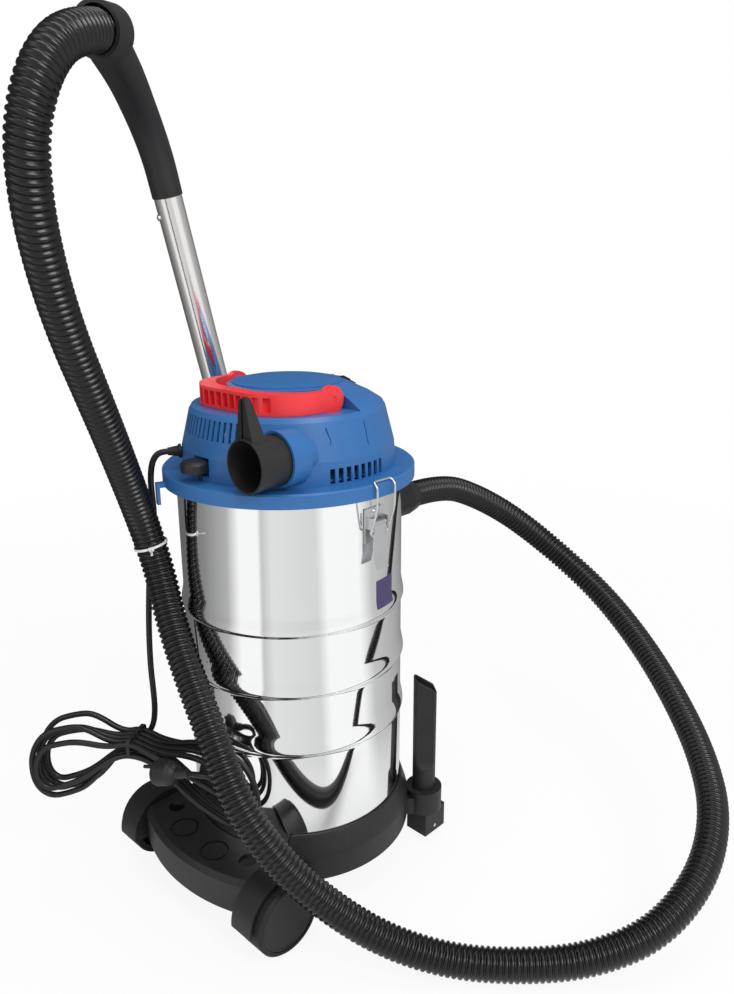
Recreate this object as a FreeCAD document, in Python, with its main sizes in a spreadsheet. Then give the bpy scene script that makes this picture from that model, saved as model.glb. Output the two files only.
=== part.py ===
import FreeCAD, Part
import math
import os
import re

import Sketcher

Vector = FreeCAD.Vector
Rotation = FreeCAD.Rotation
Placement = FreeCAD.Placement

doc = FreeCAD.newDocument("DrumVacuum")
sheet = doc.addObject("Spreadsheet::Sheet", "Dims")

# Driving dimensions in millimetres: the drum's axis is Z, the floor is z = 0, the rear wheels are at +Y.
SIZES = {
    # steel drum
    "drum_radius": 150, "drum_wall": 0.8, "drum_bottom": 61, "drum_top": 585, "drum_corner": 8,
    "bead_low": 233, "bead_mid": 317, "bead_high": 401, "bead_height": 3.6, "bead_rise": 5.5, "bead_fade": 28,
    "top_curl": 2.6,
    # trolley base
    "base_radius": 162, "base_skirt_low": 50, "base_skirt_top": 90, "collar_top": 116, "base_wall": 3,
    "base_deck": 3, "shelf_top": 95, "shelf_low": 47, "shelf_rear": 219, "shelf_side": 116, "shelf_bevel": 6, "rear_collar_cut": 90,
    "disc_radius": 16.5, "disc_groove": 3, "disc_spread": 34, "disc_y": 182, "disc_depth": 2.2,
    "shelf_hole_radius": 12, "shelf_hole_spread": 81, "shelf_hole_y": 163,
    # rear wheels and their hoods
    "wheel_radius": 49, "wheel_width": 40, "wheel_outer": 161, "wheel_y": 161, "axle_radius": 4,
    "run_gap": 0.1, "hood_gap": 3, "hood_wall": 3.5, "hood_inner": 112, "hood_outer": 149, "cap_radius": 42,
    "cap_depth": 2.5, "bush_radius": 9, "bush_length": 5,
    # front ears and casters
    "ear_reach": 187, "ear_radius": 27, "ear_top": 84, "ear_low": 48, "socket_radius": 17.6, "socket_floor": 66,
    "caster_wheel_radius": 18, "caster_wheel_width": 24, "caster_trail": 6, "caster_hood_top": 47.4,
    "caster_hood_low": 9, "caster_side": 18.5, "caster_length": 44, "caster_wall": 2.8, "stem_radius": 4,
    "stem_length": 13, "caster_axle_radius": 2.5,
    # head
    "rim_low": 573, "rim_high": 591, "rim_radius": 167, "ring_radius": 140.5, "split_height": 607,
    "shell": 3, "cover_neck_radius": 127, "cover_neck": 668, "cover_shoulder_radius": 108, "cover_shoulder": 680,
    "cover_top": 690, "disc_top": 704, "disc_rim_radius": 78, "plug_radius": 147, "plug_low": 566,
    "motor_hole": 66, "seal_height": 2.6, "hook_reach": 12,
    # carry handle
    "handle_width": 98, "handle_y": 11, "handle_z": 685, "handle_tall": 26, "handle_arm": 9, "handle_grip": 20,
    "handle_rear": 100, "handle_grip_half": 50, "handle_pin_radius": 5, "handle_gap": 0.4,
    # blower port and corner nozzle
    "port_x": -100, "port_z": 628, "port_start": 62, "port_end": 96, "collar_end": 107, "port_radius": 25, "port_wall": 2.5,
    "nozzle_mouth_y": 153, "nozzle_mouth_radius": 32, "nozzle_wall": 2.2, "nozzle_fin_top": 704,
    # controls
    "switch_y": -96, "switch_length": 30, "switch_width": 20, "switch_travel_gap": 0.5,
    "shaker_x": 4, "shaker_y": 148, "shaker_radius": 17.5, "shaker_low": 603.5, "shaker_tall": 14.6,
    "niche_gap": 1.1, "niche_wall": 2.5, "niche_roof": 620, "shaker_stem": 4, "shaker_stem_in": 9,
    # latches on both sides
    "latch_plate": 1.6, "latch_plate_low": 512, "latch_plate_high": 556, "latch_plate_half": 17,
    "latch_pivot_r": 158.5, "latch_pivot_z": 538, "latch_pin_radius": 2, "latch_lever_low": 478,
    "latch_lever_half": 11, "bail_pivot_drop": 13, "bail_wire": 1.5, "bail_half": 15.6,
    # inlet and hose
    "inlet_z": 489, "inlet_radius": 27, "inlet_bore": 23.6, "inlet_end": 185, "inlet_flange": 42,
    "inlet_flange_out": 158, "inlet_inside": 128, "cuff_radius": 27.5, "cuff_end": 245, "cuff_insert": 23.2,
    "hose_radius": 20.5, "hose_valley": 18, "hose_bore": 16.5, "hose_ribs": 190,
    # wand, grip and floor nozzle
    "wand_radius": 18.5, "wand_wall": 1.2, "wand_length": 480, "wand_insert": 45,
    "socket_ring": 26.5, "lock_radius": 4, "lock_drop": 24,
    "nozzle_width": 280, "nozzle_depth": 72, "nozzle_height": 34, "nozzle_slot": 22, "neck_radius": 19, "neck_half": 24,
    "pivot_height": 30,
    # mains cord
    "cord_radius": 4, "hank_step": 9.5, "hank_loops": 5, "hank_waist": 17, "hank_tall": 108,
    "hank_left": 145, "hank_right": 204, "tail_reach": 128, "gland_radius": 9, "gland_sleeve": 5.8, "gland_z": 614, "boot_end": 157.9,
    "plug_radius_out": 17, "plug_body": 32, "plug_boot": 22, "pin_radius": 2.4, "pin_length": 19, "pin_spread": 19,
    # crevice nozzle
    "crevice_radius": 17, "crevice_low": 66.3, "crevice_top": 266, "crevice_wall": 1.8, "label_top": 455,
    # filter, float and motor
    "cage_radius": 62, "cage_low": 486, "cage_wall": 2, "filter_radius": 84, "float_radius": 22,
    "motor_radius": 56, "motor_high": 664, "fan_radius": 52, "shaft_radius": 4, "plate_thick": 3,
}
for row, (alias, value) in enumerate(SIZES.items(), 1):
    sheet.set(f"A{row}", alias)
    sheet.set(f"B{row}", str(value))
    sheet.setAlias(f"B{row}", alias)
doc.recompute()

WORD = re.compile(r"\b(" + "|".join(sorted(SIZES, key=len, reverse=True)) + r")\b")
SIDES = (("left", 1), ("right", -1))
PIECES = {}


def size(alias):
    """One driving dimension as a number."""
    return float(sheet.get(alias))


def cells(text):
    """An expression on the sheet, from one written with bare names."""
    return WORD.sub(r"Dims.\1", str(text))


def worked(text):
    """The number that such an expression has now."""
    names = {alias: size(alias) for alias in WORD.findall(str(text))}
    return reckon(str(text), names)


def reckon(text, names):
    """Works out sums, products and quotients of names and numbers."""
    tokens = re.findall(r"[A-Za-z_]\w*|\d+\.?\d*|[-+*/()]", text)
    place = [0]

    def peek():
        return tokens[place[0]] if place[0] < len(tokens) else ""

    def take():
        place[0] += 1
        return tokens[place[0] - 1]

    def atom():
        token = take()
        if token == "-":
            return -atom()
        if token == "(":
            value = total()
            take()
            return value
        return names[token] if token in names else float(token)

    def product():
        value = atom()
        while peek() in ("*", "/"):
            value = value * atom() if take() == "*" else value / atom()
        return value

    def total():
        value = product()
        while peek() in ("+", "-"):
            value = value + product() if take() == "+" else value - product()
        return value

    return total()


def put(feature, at, turn=None):
    """Places a feature, its three coordinates bound to the sheet."""
    feature.Placement = Placement(Vector(*[worked(c) for c in at]), turn or Rotation())
    for letter, coordinate in zip("xyz", at):
        feature.setExpression("Placement.Base." + letter, cells(coordinate))
    return feature


ALONG = {
    "x": Rotation(Vector(0, 0, 1), Vector(1, 0, 0)),
    "-x": Rotation(Vector(0, 0, 1), Vector(-1, 0, 0)),
    "y": Rotation(Vector(0, 0, 1), Vector(0, 1, 0)),
    "-y": Rotation(Vector(0, 0, 1), Vector(0, -1, 0)),
    "z": Rotation(),
}


def rod(name, radius, length, at, along="z"):
    """A bound cylinder that starts at a point and runs along an axis."""
    feature = doc.addObject("Part::Cylinder", name)
    feature.setExpression("Radius", cells(radius))
    feature.setExpression("Height", cells(length))
    return put(feature, at, ALONG[along])


def block(name, lengths, at):
    """A bound box given by its low corner."""
    feature = doc.addObject("Part::Box", name)
    for side, length in zip(("Length", "Width", "Height"), lengths):
        feature.setExpression(side, cells(length))
    return put(feature, at)


def cut(name, base, *tools):
    feature = doc.addObject("Part::Cut", name)
    feature.Base = base
    if len(tools) == 1:
        feature.Tool = tools[0]
    else:
        feature.Tool = fuse(name + "_cuts", *tools)
    return feature


def fuse(name, *shapes):
    feature = doc.addObject("Part::MultiFuse", name)
    feature.Shapes = list(shapes)
    return feature


def turned(name, profile, at=(0, 0, 0), along="z"):
    """A body of revolution: a bound sketch of radius and height, turned about its own Z."""
    body = doc.addObject("PartDesign::Body", name)
    sketch = body.newObject("Sketcher::SketchObject", name + "_profile")
    plane = next(f for f in body.Origin.OriginFeatures if f.Role == "XZ_Plane")
    sketch.AttachmentSupport = [(plane, "")]
    sketch.MapMode = "FlatFace"
    corners = [Vector(worked(r), worked(z), 0) for r, z in profile]
    count = len(corners)
    for i in range(count):
        sketch.addGeometry(Part.LineSegment(corners[i], corners[(i + 1) % count]), False)
    for i in range(count):
        sketch.addConstraint(Sketcher.Constraint("Coincident", i, 2, (i + 1) % count, 1))
    for i, (radius, height) in enumerate(profile):
        for kind, value, text in (("DistanceX", corners[i].x, radius), ("DistanceY", corners[i].y, height)):
            index = sketch.addConstraint(Sketcher.Constraint(kind, -1, 1, i, 1, value))
            if WORD.search(str(text)):
                sketch.setExpression(f"Constraints[{index}]", cells(text))
    solid = body.newObject("PartDesign::Revolution", name + "_turn")
    solid.Profile = sketch
    solid.ReferenceAxis = (sketch, ["V_Axis"])
    solid.Angle = 360
    put(body, at, ALONG[along])
    return body


def shaped(name, shape):
    """A feature whose shape is worked out from the sheet's sizes."""
    feature = doc.addObject("Part::Feature", name)
    feature.Shape = shape
    return feature


def piece(label, feature):
    """Names a finished sub-part."""
    feature.Label = label
    PIECES[label] = feature
    return feature


def prism(points, low, high):
    """An upright prism on a polygon given in plan."""
    wire = Part.makePolygon([Vector(x, y, low) for x, y in points + points[:1]])
    return Part.Face(wire).extrude(Vector(0, 0, high - low))


def smooth_edge(points):
    """A smooth curve in plan through a row of points."""
    curve = Part.BSplineCurve()
    curve.interpolate([Vector(x, y, 0) for x, y in points])
    return curve.toShape()


def curved_outline(runs, high):
    """A closed outline in plan that joins smooth runs of points by straight sides."""
    edges = []
    for i, run in enumerate(runs):
        edges.append(smooth_edge(run) if len(run) > 2 else Part.makeLine(Vector(*run[0], 0), Vector(*run[1], 0)))
        after = runs[(i + 1) % len(runs)][0]
        if math.dist(run[-1], after) > 0.001:
            edges.append(Part.makeLine(Vector(*run[-1], 0), Vector(*after, 0)))
    wire = Part.Wire(edges)
    wire.translate(Vector(0, 0, high))
    return wire


def curved_prism(runs, low, high):
    """A prism on a curved outline."""
    return Part.Face(curved_outline(runs, low)).extrude(Vector(0, 0, high - low))


def cylinder(radius, low, high, x=0.0, y=0.0):
    return Part.makeCylinder(radius, high - low, Vector(x, y, low))


def revolve(profile):
    """A solid of revolution about Z on a polygon of radius and height."""
    wire = Part.makePolygon([Vector(r, 0, z) for r, z in profile + profile[:1]])
    return Part.Face(wire).revolve(Vector(), Vector(0, 0, 1), 360)


def arc_edges(start, start_way, end, end_way):
    """A biarc: two arcs that leave and meet their ends along given directions."""
    span = end - start
    spread = 2 * (1 - start_way.dot(end_way))
    along = span.dot(start_way + end_way)
    if spread < 1e-9:
        reach = span.dot(span) / (2 * along)
    else:
        reach = (math.sqrt(along * along + spread * span.dot(span)) - along) / spread
    middle = (start + start_way * reach + end - end_way * reach) * 0.5
    first = arc_through(start, start_way, middle)
    last = arc_through(end, end_way * -1, middle)
    return [curve_edge(first), curve_edge(last[::-1])]


def arc_through(start, way, end):
    """Three points on the arc from a point, along a direction, to another point."""
    chord = end - start
    across = chord - way * chord.dot(way)
    if across.Length < 1e-6:
        return [start, end]
    side = across * (1 / across.Length)
    radius = chord.dot(chord) / (2 * chord.dot(side))
    centre = start + side * radius
    halfway = (start + end) * 0.5 - centre
    return [start, centre + halfway * (radius / halfway.Length), end]


def curve_edge(points):
    return Part.Arc(*points) if len(points) == 3 else Part.LineSegment(*points)


def route_edges(points):
    """Straight runs joined by tangent arcs, each as large as its two runs allow."""
    edges = []
    radii = []
    last = points[0]
    for before, corner, after in zip(points, points[1:], points[2:]):
        way_in = (corner - before).normalize()
        way_out = (after - corner).normalize()
        half_turn = way_in.getAngle(way_out) / 2
        tangent = 0.45 * min((corner - before).Length, (after - corner).Length)
        radius = tangent / math.tan(half_turn)
        radii.append(radius)
        start = corner - way_in * tangent
        end = corner + way_out * tangent
        inward = (way_out - way_in).normalize()
        centre = corner + inward * (radius / math.cos(half_turn))
        edges.append(Part.LineSegment(last, start))
        edges.append(Part.Arc(start, centre - inward * radius, end))
        last = end
    edges.append(Part.LineSegment(last, points[-1]))
    return edges, radii


def tube_on(edges, radius):
    """A round tube swept along tangent edges."""
    path = Part.Wire([edge.toShape() for edge in edges])
    way = edges[0].tangent(edges[0].FirstParameter)[0]
    start = edges[0].value(edges[0].FirstParameter)
    ring = Part.Wire([Part.makeCircle(radius, start, way)])
    return Part.Wire(path).makePipeShell([ring], True, False), path.Length


def report_tube(name, solid, length, radius, radii):
    section = math.pi * radius * radius
    tight = ", ".join(f"{r:.0f}" for r in radii)
    print(f"{name}: length {length:.0f} mm, volume {solid.Volume / (section * length):.4f} of section x length")
    print(f"{name}: radii {tight}")


# Trolley base: one black moulding with a ringed deck, a rear shelf, wheel hoods and two front ears.
def base_shape():
    wall = size("base_wall")
    well = size("drum_radius") + 0.4
    skirt_r = size("base_radius")
    low = size("base_skirt_low")
    deck = size("drum_bottom") - size("base_deck")
    profile = [
        (40, deck), (skirt_r - wall, deck), (skirt_r - wall, low), (skirt_r, low),
        (skirt_r, size("base_skirt_top") - 6), (skirt_r - 1, size("base_skirt_top") - 2),
        (well + wall, size("collar_top") - 4), (well + wall - 1.2, size("collar_top") - 1), (well, size("collar_top")),
        (well, size("drum_bottom")),
        (40, size("drum_bottom")),
    ]
    solid = revolve(profile)
    rear = size("shelf_rear")
    side = size("shelf_side")
    edge = [
        (-side, rear - 26), (-side * 0.86, rear - 19), (-side * 0.45, rear - 5), (0, rear),
        (side * 0.45, rear - 5), (side * 0.86, rear - 19), (side, rear - 26),
    ]
    inner = [(x - math.copysign(wall, x) if x else 0, y - wall) for x, y in edge]
    bevel = size("shelf_bevel")
    brow = [(x * (1 - bevel / side), y - bevel) for x, y in edge]
    shelf = curved_prism([edge, [(side, 100), (-side, 100)]], size("shelf_low"), size("shelf_top") - bevel)
    low_wire = curved_outline([edge, [(side, 100), (-side, 100)]], size("shelf_top") - bevel)
    high_wire = curved_outline([brow, [(side - bevel, 100), (bevel - side, 100)]], size("shelf_top"))
    shelf = shelf.fuse(Part.makeLoft([low_wire, high_wire], True, False))
    shelf = shelf.cut(curved_prism([inner, [(side - wall, 100), (wall - side, 100)]],
                                   size("shelf_low"), size("shelf_top") - bevel - 1))
    shelf = shelf.cut(cylinder(skirt_r - wall, 0, deck))
    solid = solid.fuse(shelf)
    hood_in = size("wheel_radius") + size("hood_gap")
    hood_out = hood_in + size("hood_wall")
    axle_z = size("wheel_radius")
    for sign in (1, -1):
        inner_x = size("hood_inner")
        outer_x = size("hood_outer")
        start = Vector(sign * inner_x, size("wheel_y"), axle_z)
        way = Vector(sign, 0, 0)
        shell = Part.makeCylinder(hood_out, outer_x - inner_x, start, way)
        hollow = Part.makeCylinder(hood_in, outer_x - inner_x, start + way * size("hood_wall"), way)
        shell = shell.cut(hollow)
        below = Part.makeBox(2 * outer_x, 5 * hood_out, hood_out, Vector(-outer_x, 0, -9.5))
        shell = shell.cut(below)
        cheek = Part.makeCylinder(size("bush_radius") + 5, size("hood_wall"), start, way)
        boss = Part.makeCylinder(size("bush_radius"), size("bush_length"), start + way * size("hood_wall"), way)
        shell = shell.fuse(cheek).fuse(boss)
        solid = solid.fuse(shell)
        clear = Part.makeCylinder(hood_in, outer_x - inner_x, start + way * (size("hood_wall") + size("bush_length")), way)
        solid = solid.cut(clear)
        reach = size("ear_reach") / math.sqrt(2)
        ear_low = size("ear_low")
        ear = cylinder(size("ear_radius"), ear_low, size("ear_top"), sign * reach, -reach)
        arm_half = size("ear_radius") * 0.8
        arm = Part.makeBox(size("ear_reach") - 120, 2 * arm_half, size("ear_top") - 10 - ear_low,
                           Vector(120, -arm_half, ear_low))
        arm.rotate(Vector(), Vector(0, 0, 1), -45 if sign > 0 else -135)
        solid = solid.fuse(ear).fuse(arm)
    solid = solid.cut(cylinder(well, size("drum_bottom"), 200))
    solid = solid.cut(cylinder(40, 0, 200))
    for sign in (1, -1):
        reach = size("ear_reach") / math.sqrt(2)
        x = sign * reach
        solid = solid.cut(cylinder(size("socket_radius"), size("socket_floor"), 200, x, -reach))
        stem = size("stem_radius") + size("run_gap")
        solid = solid.cut(cylinder(stem, size("ear_low") - 3, size("ear_low") + size("stem_length") + 1, x, -reach))
        axle = Part.makeCylinder(size("axle_radius") + 0.02, 160, Vector(0, size("wheel_y"), size("wheel_radius")),
                                 Vector(sign, 0, 0))
        solid = solid.cut(axle)
        disc_x = sign * size("disc_spread")
        groove = cylinder(size("disc_radius") + size("disc_groove"), size("shelf_top") - size("disc_depth"),
                          size("shelf_top") + 1, disc_x, size("disc_y"))
        groove = groove.cut(cylinder(size("disc_radius"), 0, 200, disc_x, size("disc_y")))
        solid = solid.cut(groove)
        solid = solid.cut(cylinder(size("shelf_hole_radius"), size("shelf_top") - 10, 200,
                                   sign * size("shelf_hole_spread"), size("shelf_hole_y")))
    notch = Part.makeBox(2 * size("shelf_side") - 20, 100, 60,
                         Vector(10 - size("shelf_side"), 100, max(size("rear_collar_cut"), size("shelf_top"))))
    return solid.cut(notch).removeSplitter()


piece("trolley_base", shaped("trolley_base", base_shape()))

# Rear axle, wheels and caps: a steel rod carries two moulded wheels behind the drum.
piece("rear_axle", rod("rear_axle", "axle_radius", "2*(wheel_outer-6)", ("6-wheel_outer", "wheel_y", "wheel_radius"), "x"))
for side, sign in SIDES:
    wheel_profile = [
        ("axle_radius+run_gap", "0"), ("axle_radius+5", "0"), ("axle_radius+5", "wheel_width/2"),
        ("wheel_radius-9", "wheel_width/2"), ("wheel_radius-9", "0"), ("wheel_radius-2", "0"),
        ("wheel_radius", "2"), ("wheel_radius", "wheel_width-3"), ("wheel_radius-3", "wheel_width"),
        ("cap_radius+0.2", "wheel_width"), ("cap_radius+0.2", "wheel_width-cap_depth"),
        ("axle_radius+5", "wheel_width-cap_depth"), ("axle_radius+5", "wheel_width-3.4"),
        ("axle_radius+run_gap", "wheel_width-3.4"),
    ]
    way = "x" if sign > 0 else "-x"
    start = ("wheel_outer-wheel_width" if sign > 0 else "wheel_width-wheel_outer", "wheel_y", "wheel_radius")
    piece(f"rear_wheel_{side}", turned(f"rear_wheel_{side}", wheel_profile, start, way))
    cap_profile = [
        ("0", "wheel_width-cap_depth"), ("cap_radius", "wheel_width-cap_depth"), ("cap_radius", "wheel_width-1"),
        ("cap_radius-3", "wheel_width-1"), ("cap_radius-4", "wheel_width-1.6"), ("0", "wheel_width-1.6"),
    ]
    piece(f"wheel_cap_{side}", turned(f"wheel_cap_{side}", cap_profile, start, way))

# Front casters: a hooded fork swivels on its stem under each ear and carries one wheel.
for side, sign in SIDES:
    reach_x = "ear_reach*0.7071068" if sign > 0 else "ear_reach*(-0.7071068)"
    reach_y = "ear_reach*(-0.7071068)"
    hub_y = "ear_reach*(-0.7071068)-caster_trail"
    name = f"caster_fork_{side}"
    hood = block(name + "_hood", ("2*caster_side", "caster_length", "caster_hood_top-caster_hood_low"),
                 (reach_x + "-caster_side", hub_y + "-caster_length/2", "caster_hood_low"))
    hollow = block(name + "_hollow",
                   ("2*(caster_side-caster_wall)", "caster_length-2*caster_wall",
                    "caster_hood_top-caster_hood_low-caster_wall"),
                   (reach_x + "-caster_side+caster_wall", hub_y + "-caster_length/2+caster_wall", "caster_hood_low"))
    stem = rod(name + "_stem", "stem_radius", "stem_length+1", (reach_x, reach_y, "caster_hood_top-1"))
    bore = rod(name + "_bore", "caster_axle_radius", "2*caster_side",
               (reach_x + "-caster_side", hub_y, "caster_wheel_radius"), "x")
    shell = cut(name + "_shell", hood, hollow)
    piece(name, cut(name, fuse(name + "_solid", shell, stem), bore))
    piece(f"caster_axle_{side}", rod(f"caster_axle_{side}", "caster_axle_radius", "2*caster_side",
                                     (reach_x + "-caster_side", hub_y, "caster_wheel_radius"), "x"))
    roller_profile = [
        ("caster_axle_radius+run_gap", "0"), ("caster_wheel_radius-1.5", "0"), ("caster_wheel_radius", "1.5"),
        ("caster_wheel_radius", "caster_wheel_width-1.5"), ("caster_wheel_radius-1.5", "caster_wheel_width"),
        ("caster_axle_radius+run_gap", "caster_wheel_width"),
    ]
    piece(f"caster_wheel_{side}", turned(f"caster_wheel_{side}", roller_profile,
                                         (reach_x + "-caster_wheel_width/2", hub_y, "caster_wheel_radius"), "x"))

# Drum: polished steel sheet with three rolled beads, a curled top edge and a hole for the inlet.
def bead(height):
    return [
        ("drum_radius", f"{height}-9"), ("drum_radius-1.2", f"{height}-2"), ("drum_radius-1.2", height),
        ("drum_radius+bead_height*0.6", f"{height}+bead_rise*0.35"),
        ("drum_radius+bead_height", f"{height}+bead_rise*0.8"), ("drum_radius+bead_height", f"{height}+bead_rise"),
        ("drum_radius+bead_height*0.62", f"{height}+bead_fade*0.55"), ("drum_radius", f"{height}+bead_fade"),
    ]


drum_outside = [("0", "drum_bottom"), ("drum_radius-drum_corner", "drum_bottom"),
                ("drum_radius-drum_corner*0.3", "drum_bottom+drum_corner*0.3"),
                ("drum_radius", "drum_bottom+drum_corner")]
for height in ("bead_low", "bead_mid", "bead_high"):
    drum_outside += bead(height)
drum_outside += [("drum_radius", "drum_top-2*top_curl"), ("drum_radius+top_curl", "drum_top-top_curl"),
                 ("drum_radius+top_curl", "drum_top")]
drum_inside = [(r + "-drum_wall", z) for r, z in drum_outside[:2:-1]]
drum_inside += [("drum_radius-drum_corner*0.3-drum_wall", "drum_bottom+drum_corner*0.3+drum_wall"),
                ("drum_radius-drum_corner", "drum_bottom+drum_wall"), ("0", "drum_bottom+drum_wall")]
drum_blank = turned("drum_blank", drum_outside + drum_inside)
piece("drum", cut("drum", drum_blank, rod("inlet_hole_in_drum", "inlet_radius+0.8", "drum_radius+10",
                                          ("0", "0", "inlet_z"), "-y")))

def bead_relief(gap):
    """The highest bead's upper slope, grown by a gap, which the inlet's flange and gasket are shaped round."""
    low = size("bead_high")
    radius = size("drum_radius") + gap
    high = low + size("bead_fade")
    return revolve([(100, low), (radius + size("bead_height"), low),
                    (radius + size("bead_height"), low + size("bead_rise")), (radius + size("bead_height") * 0.62, low + size("bead_fade") * 0.55), (radius, high), (100, high)])


# Inlet: a flanged tube through the drum's front, a gasket behind its flange, a ring nut inside and four screws.
def inlet_shape():
    z = size("inlet_z")
    way = Vector(0, -1, 0)
    flange = Part.makeCylinder(size("inlet_flange"), size("inlet_flange_out") - 138, Vector(0, -138, z), way)
    tube = Part.makeCylinder(size("inlet_radius"), size("inlet_end") - size("inlet_inside"),
                             Vector(0, -size("inlet_inside"), z), way)
    seat = cylinder(size("drum_radius") + 1.5, z - 60, z + 60)
    bore = Part.makeCylinder(size("inlet_bore"), 100, Vector(0, -size("inlet_inside") + 5, z), way)
    return flange.cut(seat).cut(bead_relief(1.5)).fuse(tube).cut(bore).removeSplitter()


def inlet_gasket_shape():
    z = size("inlet_z")
    ring = Part.makeCylinder(size("inlet_flange") - 1, 24, Vector(0, -132, z), Vector(0, -1, 0))
    ring = ring.cut(Part.makeCylinder(size("inlet_radius") + 0.3, 30, Vector(0, -130, z), Vector(0, -1, 0)))
    sleeve = cylinder(size("drum_radius") + 1.4, z - 60, z + 60).cut(cylinder(size("drum_radius") + 0.1, z - 60, z + 60))
    return ring.common(sleeve).cut(bead_relief(0.1))


def inlet_nut_shape():
    z = size("inlet_z")
    ring = Part.makeCylinder(size("inlet_radius") + 9, 14, Vector(0, -size("inlet_inside") - 2, z), Vector(0, -1, 0))
    ring = ring.cut(Part.makeCylinder(size("inlet_radius") + 0.15, 30, Vector(0, -120, z), Vector(0, -1, 0)))
    return ring.common(cylinder(size("drum_radius") - size("drum_wall") - 0.2, z - 60, z + 60))


def inlet_screw_shapes():
    z = size("inlet_z")
    reach = (size("inlet_flange") + size("inlet_radius")) / 2
    screws = []
    for dx, dz in ((1, 1), (1, -1), (-1, -1), (-1, 1)):
        head = Part.makeCylinder(3.2, 2, Vector(dx * reach * 0.7071, -size("inlet_flange_out"), z + dz * reach * 0.7071),
                                 Vector(0, -1, 0))
        screws.append(head)
    return Part.makeCompound(screws)


piece("inlet_fitting", shaped("inlet_fitting", inlet_shape()))
piece("inlet_gasket", shaped("inlet_gasket", inlet_gasket_shape()))
piece("inlet_nut", shaped("inlet_nut", inlet_nut_shape()))
piece("inlet_screws", shaped("inlet_screws", inlet_screw_shapes()))

# Hose cuff: the black end piece of the hose, pushed into the inlet.
piece("hose_cuff", turned("hose_cuff", [
    ("hose_bore", "inlet_end-30"), ("cuff_insert", "inlet_end-30"), ("cuff_insert", "inlet_end+0.3"),
    ("cuff_radius", "inlet_end+0.3"), ("cuff_radius", "cuff_end-16"), ("cuff_radius-3.5", "cuff_end"),
    ("hose_bore", "cuff_end"),
], ("0", "0", "inlet_z"), "-y"))


# Hose: one ribbed tube from the cuff, over the floor in front of the wheels and up to the grip.
HOSE_ROUTE = [
    (0, -245, 489), (0, -325, 489), (-10, -405, 456), (-42, -475, 408), (-105, -528, 342), (-195, -532, 287),
    (-287, -500, 237), (-372, -448, 192), (-447, -380, 158), (-503, -300, 132), (-526, -213, 98), (-510, -130, 58),
    (-460, -62, 31), (-397, 0, 23), (-330, 55, 25), (-265, 105, 50), (-208, 148, 98), (-160, 182, 155),
    (-115, 200, 220), (-62, 192, 283), (-3, 181, 340), (48, 170, 398), (80, 162, 460), (92, 174, 528),
    (79, 205, 594), (57, 236, 654), (34, 266, 714), (11, 296, 777), (-13, 323, 841), (-38, 349, 905),
    (-58, 360, 968), (-62, 338, 1027), (-46, 288, 1062), (-15, 234, 1068),
]


def stations(edges, count):
    """Evenly spaced points and directions along tangent edges, with a way to their length."""
    lengths = [edge.length() for edge in edges]
    total = sum(lengths)
    marks = []
    for i in range(count + 1):
        left = min(total * i / count, total - 1e-6)
        for edge, length in zip(edges, lengths):
            if left <= length:
                break
            left -= length
        parameter = edge.parameterAtDistance(left, edge.FirstParameter)
        marks.append((edge.value(parameter), edge.tangent(parameter)[0].normalize()))
    return marks, total


def ring_wire(point, way, steady, radius):
    """A circle square to the path, its start kept on a steady X axis."""
    x_axis = (steady - way * steady.dot(way)).normalize()
    frame = Rotation(x_axis, way.cross(x_axis), way, "ZXY")
    edge = Part.makeCircle(radius)
    edge.Placement = Placement(point, frame)
    return Part.Wire([edge]), x_axis


def hose_shape(route):
    edges, radii = route_edges([Vector(*p) for p in route])
    count = int(size("hose_ribs"))
    marks, total = stations(edges, count * 4)
    steady = Vector(1, 0, 0)
    outer = []
    inner = []
    for i, (point, way) in enumerate(marks):
        step = i % 4
        radius = size("hose_radius") if step in (1, 2) else size("hose_valley")
        wire, steady = ring_wire(point, way, steady, radius)
        outer.append(wire)
        if step == 0:
            inner.append(ring_wire(point, way, steady, size("hose_bore"))[0])
    skin = Part.makeLoft(outer, False, True)
    lining = Part.makeLoft(inner, False, True)
    ends = []
    for k in (0, -1):
        ends.append(Part.Face(outer[k]).cut(Part.Face(inner[k])).Faces[0])
    shell = Part.makeShell(skin.Faces + lining.Faces + ends)
    shell.sewShape()
    solid = Part.makeSolid(Part.Shell(shell.Faces)) if shell.ShapeType != "Shell" else Part.makeSolid(shell)
    if solid.Volume < 0:
        solid.reverse()
    print(f"hose: length {total:.0f} mm, {count} ribs, radii " + ", ".join(f"{r:.0f}" for r in radii))
    return solid


piece("suction_hose", shaped("suction_hose", hose_shape(HOSE_ROUTE)))


# Head base: the blue rim and ring housing that close the drum, with side vents, a cable eye and a knob niche.
def radial_slots(middle, count, pitch, width, inner, outer, low, high):
    """Upright slots cut through a round wall, evenly turned about a middle bearing."""
    slots = []
    for i in range(count):
        slot = Part.makeBox(outer - inner, width, high - low, Vector(inner, -width / 2, low))
        slot.rotate(Vector(), Vector(0, 0, 1), middle + (i - (count - 1) / 2) * pitch)
        slots.append(slot)
    return Part.makeCompound(slots)


head_ring = turned("head_ring", [
    ("motor_hole", "rim_high+2*shell"), ("ring_radius-shell", "rim_high+2*shell"),
    ("ring_radius-shell", "split_height"), ("ring_radius", "split_height"), ("ring_radius", "rim_high"),
    ("rim_radius-2", "rim_high"), ("rim_radius", "rim_high-2"), ("rim_radius", "rim_low"),
    ("rim_radius-shell", "rim_low"), ("rim_radius-shell", "rim_high-shell"), ("plug_radius", "rim_high-shell"),
    ("plug_radius", "plug_low"), ("plug_radius-shell", "plug_low"), ("plug_radius-shell", "rim_high-shell"),
    ("ring_radius-shell", "rim_high-shell"), ("ring_radius-shell", "rim_high+shell"), ("motor_hole", "rim_high+shell"),
])
GLAND_BEARING = 60.0
HOOK_BEARING = 69.0


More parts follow.
